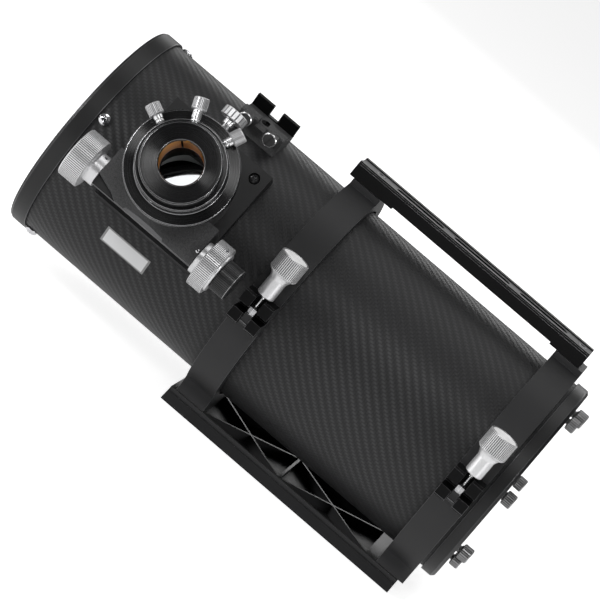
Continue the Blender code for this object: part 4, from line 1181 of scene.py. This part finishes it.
lock = turned(
    "lock_grip",
    [(0, 59.8), (7.6, 59.8), (8.0, 60.2), (9.4, 60.2), (10.0, 59.8, "s"), (10.0, 59.6, "k"),
     (10.0, 53.7, "k"), (10.0, 53.5, "s"), (9.2, 53.2), (5.2, 53.2), (4.9, 52.6), (4.4, 52.2),
     (4.4, 48.9), (4.0, 48.5)]
    + thread(3.0, 48.3, 31.0, pitch=0.9, depth=0.25) + [(2.6, 30.7), (0, 30.7)],
    lock_frame, "silver", radius=0.3, knurl=(17, 0.5, "flute"))
refinish(lock, "polished", (2.5, 5.3), (40.0, 53.3))
show(lock, "lock_knob")

# A slotted set screw in the flange's collar, and a small screw on the block
collar = turned("collar_set_screw",
                [(0, 33.7), (1.5, 33.7), (1.8, 33.4), (1.8, 29.0), (0, 29.0)],
                collar_frame, "chrome", 32, 0.15)
cut(collar, block("cut_slot", (-2.5, -0.35, 32.9), (2.5, 0.35, 35.0), spun(collar_frame, 0.3)))
show(settle(collar), on="clamp_flange")
show(hex_screw("block_screw", [(0, 142.3), (0.8, 142.1), (1.4, 141.6), (1.5, 141.1), (1.5, 139.5),
                               (0, 139.5)],
               at(focuser, 44.2, -34.4, 0), flats=1.1, recess=(141.6, 143.0),
               slot="chrome", steps=32, radius=0.1), on="focuser_body")

# The knobs' heights run along the pinion, positive towards +X.
show(turned("pinion_rod",
            [(0, 77.0), (2.5, 77.0), (2.5, 65.2), (4.0, 65.2), (4.0, 45.5), (ROLLER_R, 45.5),
             (ROLLER_R, -45.5), (4.0, -45.5), (4.0, -69.0), (0, -69.0)],
            pinion, "steel", 60), "pinion_shaft")
COARSE_KNURL = (84, 0.34, "straight")
left = turned(
    "coarse_grip_left",
    [(4.3, -46.4), (12.2, -46.4), (12.2, -53.4), (13.4, -54.2), (18.9, -54.8), (20.2, -55.4, "s"),
     (20.2, -55.6, "k"), (20.2, -70.3, "k"), (20.2, -70.5, "s"), (19.4, -71.3), (10.6, -71.3),
     (9.6, -70.4), (0, -70.4), (0, -69.4), (4.3, -69.4)],
    pinion, "silver", radius=0.4, knurl=COARSE_KNURL)
refinish(left, "satin_silver", (11.0, 13.0), (-54.0, -46.0))
left_set = radial(pinion, -49.8, 40)
cut(left, rod("cut_set", 1.5, 9.0, 14.0, left_set, steps=24))
show(settle(left), "coarse_knob_left")
right = turned(
    "coarse_grip_right",
    [(4.3, 65.4), (15.9, 65.4), (16.4, 64.9), (16.4, 63.9), (19.5, 63.9), (20.2, 63.2, "s"),
     (20.2, 63.0, "k"), (20.2, 51.7, "k"), (20.2, 51.5, "s"), (19.4, 51.0), (13.4, 50.6),
     (13.2, 50.2), (13.2, 46.4), (4.3, 46.4)],
    pinion, "silver", radius=0.4, knurl=COARSE_KNURL)
refinish(right, "satin_silver", (11.0, 14.0), (46.0, 50.5))
refinish(right, "satin_silver", (15.0, 19.6), (63.8, 65.5))
right_set = radial(pinion, 60.2, 44)
cut(right, rod("cut_set", 1.6, 17.0, 22.0, right_set, steps=24))
show(settle(right), "coarse_knob_right")
for side, here, top in (("left", left_set, 11.4), ("right", right_set, 19.2)):
    show(hex_screw(f"grub_screw_{side}", [(0, top), (1.3, top), (1.3, top - 1.8), (0, top - 1.8)],
                   here, flats=1.3, recess=(top - 1.0, top + 1.0),
                   slot="chrome", steps=28, radius=0.15), on=f"coarse_knob_{side}")
show(turned(
    "fine_grip",
    [(0, 79.4), (11.6, 79.4), (12.5, 79.1, "s"), (12.9, 78.5, "s"), (12.9, 78.2, "k"),
     (12.9, 66.5, "k"), (12.9, 66.2, "s"), (12.5, 65.9), (2.8, 65.9), (2.8, 77.4), (0, 77.4)],
    pinion, "fine_black", radius=0.3, knurl=(52, 0.45, "straight")), "fine_knob")
show(turned("fine_trim", [(12.93, 78.75), (12.93, 78.45), (12.4, 78.45), (12.4, 78.95)],
            pinion, "dull_steel", radius=0.0), on="fine_knob")

# ---------------------------------------------------------------- finder shoe
# (y, z) outline in the shoe's frame, open at the top between a low and a tall blade
shoe = prism(
    "finder_bracket",
    [(-16, 86), (16, 86), (16, 97.0), (14.6, 98.4), (13.2, 108.0), (9.6, 108.0), (11.4, 97.6),
     (9.0, 97.6), (9.0, 98.0), (-6.5, 98.0), (-6.5, 97.6), (-8.4, 97.6), (-7.2, 104.2),
     (-14.8, 104.2), (-16, 103.0)],
    -20, 20, at(shoe_frame, 0, 0, 0, "X"), "shoe_black",
)
cut(shoe,
    rod("cut_saddle", TUBE_R + GAP, -330, 60, along(), steps=240),
    block("cut_gap_low", (-4.2, -20, 98.6), (4.2, -7.0, 120), shoe_frame),
    block("cut_gap_tall", (-4.2, 9.2, 98.6), (4.2, 20, 120), shoe_frame),
    turned("cut_screw", [(0, 110), (4.3, 110), (4.3, 93.6), (TAP_R, 93.6), (TAP_R, 80), (0, 80)],
           shoe_frame, steps=48))
for i, x in enumerate((-12.0, 12.0)):
    here = at(shoe_frame, x, 0, 101.2, "-Y")
    cut(shoe, rod("cut_thumb", 2.3, 4, 30, here, steps=28))
    knob = turned(
        f"shoe_grip_{i + 1}",
        [(0, 25.0), (4.9, 25.0), (5.6, 24.3, "s"), (5.6, 24.1, "k"), (5.6, 18.5, "k"),
         (5.6, 18.3, "s"), (5.0, 17.6), (3.2, 17.6), (3.2, 16.5)]
        + thread(2.0, 16.3, 6.8, depth=0.2) + [(1.7, 6.4), (0, 6.4)],
        here, "shoe_knob", radius=0.3, knurl=(32, 0.2, "fine"))
    show(turned(f"shoe_rim_{i + 1}", [(5.1, 25.05), (5.65, 24.5), (5.5, 24.35), (5.0, 24.85)],
                here, "polished", 64, 0.0), on=f"shoe_thumb_{i + 1}")
    cut(knob, block("cut_slot", (-6.5, -0.35, 24.3), (6.5, 0.35, 26.0), spun(here, 0.75 - 1.0 * i)))
    show(settle(knob), f"shoe_thumb_{i + 1}")
settle(shoe, 0.4)
# The cheeks of the tall blade and the shoe's -Y flank take a deeper black: painted shade beside
# their paler edges, which are a painted highlight.
recolour(shoe, "shaded_black", lambda face, centre, normal: face.material_index == 0 and (
    (centre.y > 6 and centre.z > 99.2 and face.area > 5e-6)
    or (normal.y < -0.9 and centre.z < 97.5)), shoe_frame)
show(shoe, "finder_shoe")
show(cross_screw("shoe_pan_screw",
                 [(0, 97.2), (1.3, 97.1), (2.6, 96.8), (3.6, 96.3), (4.0, 95.6), (4.0, 93.9),
                  (2.0, 93.9), (2.0, 84.0), (0, 84.0)],
                 shoe_frame, turn=0.3, recess=(95.6, 99.0)), "shoe_screw")

# ---------------------------------------------------------------- primary mirror and cell
FACE_X = MIRROR_BACK_X - MIRROR_T  # the vertex height before the paraboloid's rise is added
sag = [(r, FACE_X + (MIRROR_R**2 - r * r) / (4 * FOCAL), "s")
       for r in [75.8 * (1 - k / 24) for k in range(24)]]
dish = turned(
    "primary_glass",
    [(0, MIRROR_BACK_X), (76.2, MIRROR_BACK_X), (MIRROR_R, MIRROR_BACK_X - 0.8),
     (MIRROR_R, FACE_X + 0.8)] + sag + [(0, FACE_X + MIRROR_R**2 / (4 * FOCAL))],
    along(), "mirror", 160, 0.0)
for face in dish.data.polygons:
    polished = face.normal.z < -0.9 and face.center.z < (MIRROR_BACK_X - 12) * MM
    face.material_index = 0 if polished else 1
show(dish, "primary_mirror")
cell = turned("primary_cell",
              [(25.0, 110.0), (82.0, 110.0), (82.0, 84.0), (77.4, 84.0), (77.4, 102.4),
               (25.0, 102.4)],
              along(), "satin_black", 160)
for i, deg in enumerate(CELL_DEGS):
    here = along(0, *polar(CELL_R, 180 - deg))
    cut(cell, rod("cut_cell", 3.3, 103.6, 140, here))
    show(turned(
        f"collimation_grip_{i + 1}",
        [(0, 141.0), (1.4, 141.0), (1.8, 140.2), (3.0, 140.2), (3.4, 141.0), (5.4, 141.0),
         (6.3, 140.2, "s"), (6.3, 140.0, "k"), (6.3, 133.4, "k"), (6.3, 133.2, "s"),
         (5.6, 132.4), (4.2, 132.4), (3.8, 131.6)]
        + thread(3.0, 131.4, 104.8, pitch=1.0, depth=0.25) + [(2.6, 104.4), (0, 104.4)],
        here, "dull_steel", radius=0.25, knurl=(22, 0.35, "straight")),
        f"collimation_knob_{i + 1}")
    show(turned(
        f"lock_grip_{i + 1}",
        [(0, 139.0), (4.8, 139.0), (5.6, 138.2, "s"), (5.6, 138.0, "k"), (5.6, 132.5, "k"),
         (5.6, 132.3, "s"), (4.9, 131.5)]
        + thread(2.5, 131.2, 110.9, pitch=0.8) + [(2.1, 110.5), (0, 110.5)],
        along(0, *polar(CELL_R, 180 - deg + CELL_LOCK_DEG)),
        "dull_steel", radius=0.25, knurl=(20, 0.3, "straight")), f"lock_screw_{i + 1}")
show(settle(cell), "mirror_cell")

# ---------------------------------------------------------------- blank label on the tube
LABEL_X, LABEL_L, LABEL_DEG, LABEL_SPAN = -218.4, 41.0, -28.9, 9.2
LABEL_LIFTS = (0.02, 0.14)  # its under and upper skin, above the tube
cols, rows = 24, 12
bm = bmesh.new()
grid = []
for lift in LABEL_LIFTS:
    layer = []
    for i in range(cols + 1):
        x = LABEL_X + LABEL_L * i / cols
        line = []
        for j in range(rows + 1):
            d = direction(LABEL_DEG + LABEL_SPAN * j / rows) * (TUBE_R + lift)
            line.append(bm.verts.new((x * MM, d.y * MM, (AXIS_Z + d.z) * MM)))
        layer.append(line)
    grid.append(layer)
for i in range(cols):
    for j in range(rows):
        for layer in grid:
            face = bm.faces.new((layer[i][j], layer[i + 1][j], layer[i + 1][j + 1],
                                 layer[i][j + 1]))
            face.material_index = 1 if i in (0, cols - 1) or j in (0, rows - 1) else 0
under, upper = grid
for i in range(cols):
    for j in (0, rows):
        bm.faces.new((under[i][j], under[i + 1][j], upper[i + 1][j], upper[i][j]))
for j in range(rows):
    for i in (0, cols):
        bm.faces.new((under[i][j], under[i][j + 1], upper[i][j + 1], upper[i][j]))
show(new_object("blank_label", bm, WORLD, "label"), on="optical_tube")

# ---------------------------------------------------------------- floor
# (radius, height) of the paper sweep, in metres
SWEEP = [(0.0, 0.0), (3.0, 0.0), (6.0, 0.0), (7.5, 0.25), (8.6, 1.0), (9.2, 2.4), (9.4, 5.0)]
FLOOR_DROP = 0.0004
bm = bmesh.new()
loops = [[bm.verts.new((0, 0, -FLOOR_DROP))]]
for r, h in SWEEP[1:]:
    loops.append([bm.verts.new((*polar(r, 360 * k / 96), h - FLOOR_DROP)) for k in range(96)])
for a, b in zip(loops, loops[1:]):
    for k in range(96):
        m = (k + 1) % 96
        bm.faces.new((a[0], b[k], b[m]) if len(a) == 1 else (a[k], b[k], b[m], a[m]))
mesh = mesh_of("studio_floor", bm)
mesh.polygons.foreach_set("use_smooth", [True] * len(mesh.polygons))
floor = bpy.data.objects.new("studio_floor", mesh)
bpy.context.scene.collection.objects.link(floor)
paper = Look("studio_paper")
# The sweep is overlit for the camera. Only the part under the object bounces light, so that
# polished faces have a darker room to mirror.
seen = paper.node("LightPath", output="Is Camera Ray")
floor_x, floor_y, _ = paper.xyz()
near = paper.span(paper.radius(floor_x, floor_y), 0.9, 2.0, 1.0, 0.0)
pale = paper.mix(paper.noise(3.0), (0.93, 0.93, 0.93), (0.95, 0.95, 0.95))
bounce = paper.mix(near, (0.10, 0.10, 0.10), (0.85, 0.85, 0.85))
glow = seen * 0.75 + (1.0 - seen) * (near * 0.42)
paper.set(Base_Color=paper.mix(seen, bounce, pale), Roughness=0.9, Specular_IOR_Level=0.1,
          Emission_Color=(1.0, 1.0, 1.0), Emission_Strength=glow)
mesh.materials.append(paper.mat)
floor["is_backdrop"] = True

# ---------------------------------------------------------------- light
world = bpy.data.worlds.new("studio")
bpy.context.scene.world = world
world.use_nodes = True
background = world.node_tree.nodes["Background"]
background.inputs["Color"].default_value = (1, 1, 1, 1)
background.inputs["Strength"].default_value = 0.16

# Name, place, aim and size in metres, and power in watts
PANELS = (
    ("light_top", (-0.2, 0.2, 2.4), (0, 0, 0.1), (2.4, 1.2), 14),
    ("light_left", (-2.2, -1.7, 0.75), (-0.1, 0, 0.1), (0.55, 0.75), 34),
    ("light_end", (-2.8, 0.1, 0.25), (-0.3, 0, 0.11), (1.8, 1.4), 9),
    ("light_front", (0.1, -2.5, 1.9), (0, 0, 0.1), (1.2, 0.6), 14),
    ("light_back", (0.1, 2.4, 1.1), (0, 0, 0.2), (2.4, 0.9), 12),
    ("light_right", (2.2, -1.5, 0.6), (0, 0, 0.1), (0.55, 0.75), 18),
)
for name, place, aim, size, power in PANELS:
    light = bpy.data.lights.new(name, "AREA")
    light.shape, light.size, light.size_y = "RECTANGLE", size[0], size[1]
    light.energy, light.spread = power, math.pi
    panel = bpy.data.objects.new(name, light)
    panel.location = place
    panel.rotation_mode = "QUATERNION"
    panel.rotation_quaternion = (Vector(aim) - Vector(place)).to_track_quat("-Z", "Y")
    panel.visible_camera = False
    bpy.context.scene.collection.objects.link(panel)

# ---------------------------------------------------------------- camera
azimuth, elevation, roll = math.radians(4.51), math.radians(12.5), math.radians(39.55)
target, distance = Vector((-0.0814, 0.0, 0.1150)), 2.47637  # metres
back = Vector((math.sin(azimuth) * math.cos(elevation),
               -math.cos(azimuth) * math.cos(elevation), math.sin(elevation)))
right = (-back).cross(Vector((0, 0, 1))).normalized()
up = right.cross(-back)
c, s = math.cos(roll), math.sin(roll)
pose = Matrix((c * right + s * up, -s * right + c * up, back)).transposed().to_4x4()
pose.translation = target + back * distance
lens = bpy.data.cameras.new("camera")
lens.sensor_width, lens.lens = 36.0, 196.76
lens.clip_start, lens.clip_end = 0.1, 50.0
camera = bpy.data.objects.new("camera", lens)
camera.matrix_world = pose
bpy.context.scene.collection.objects.link(camera)
bpy.context.scene.camera = camera
bpy.context.scene.view_settings.view_transform = "Standard"
bpy.context.scene.view_settings.look = "None"

low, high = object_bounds()
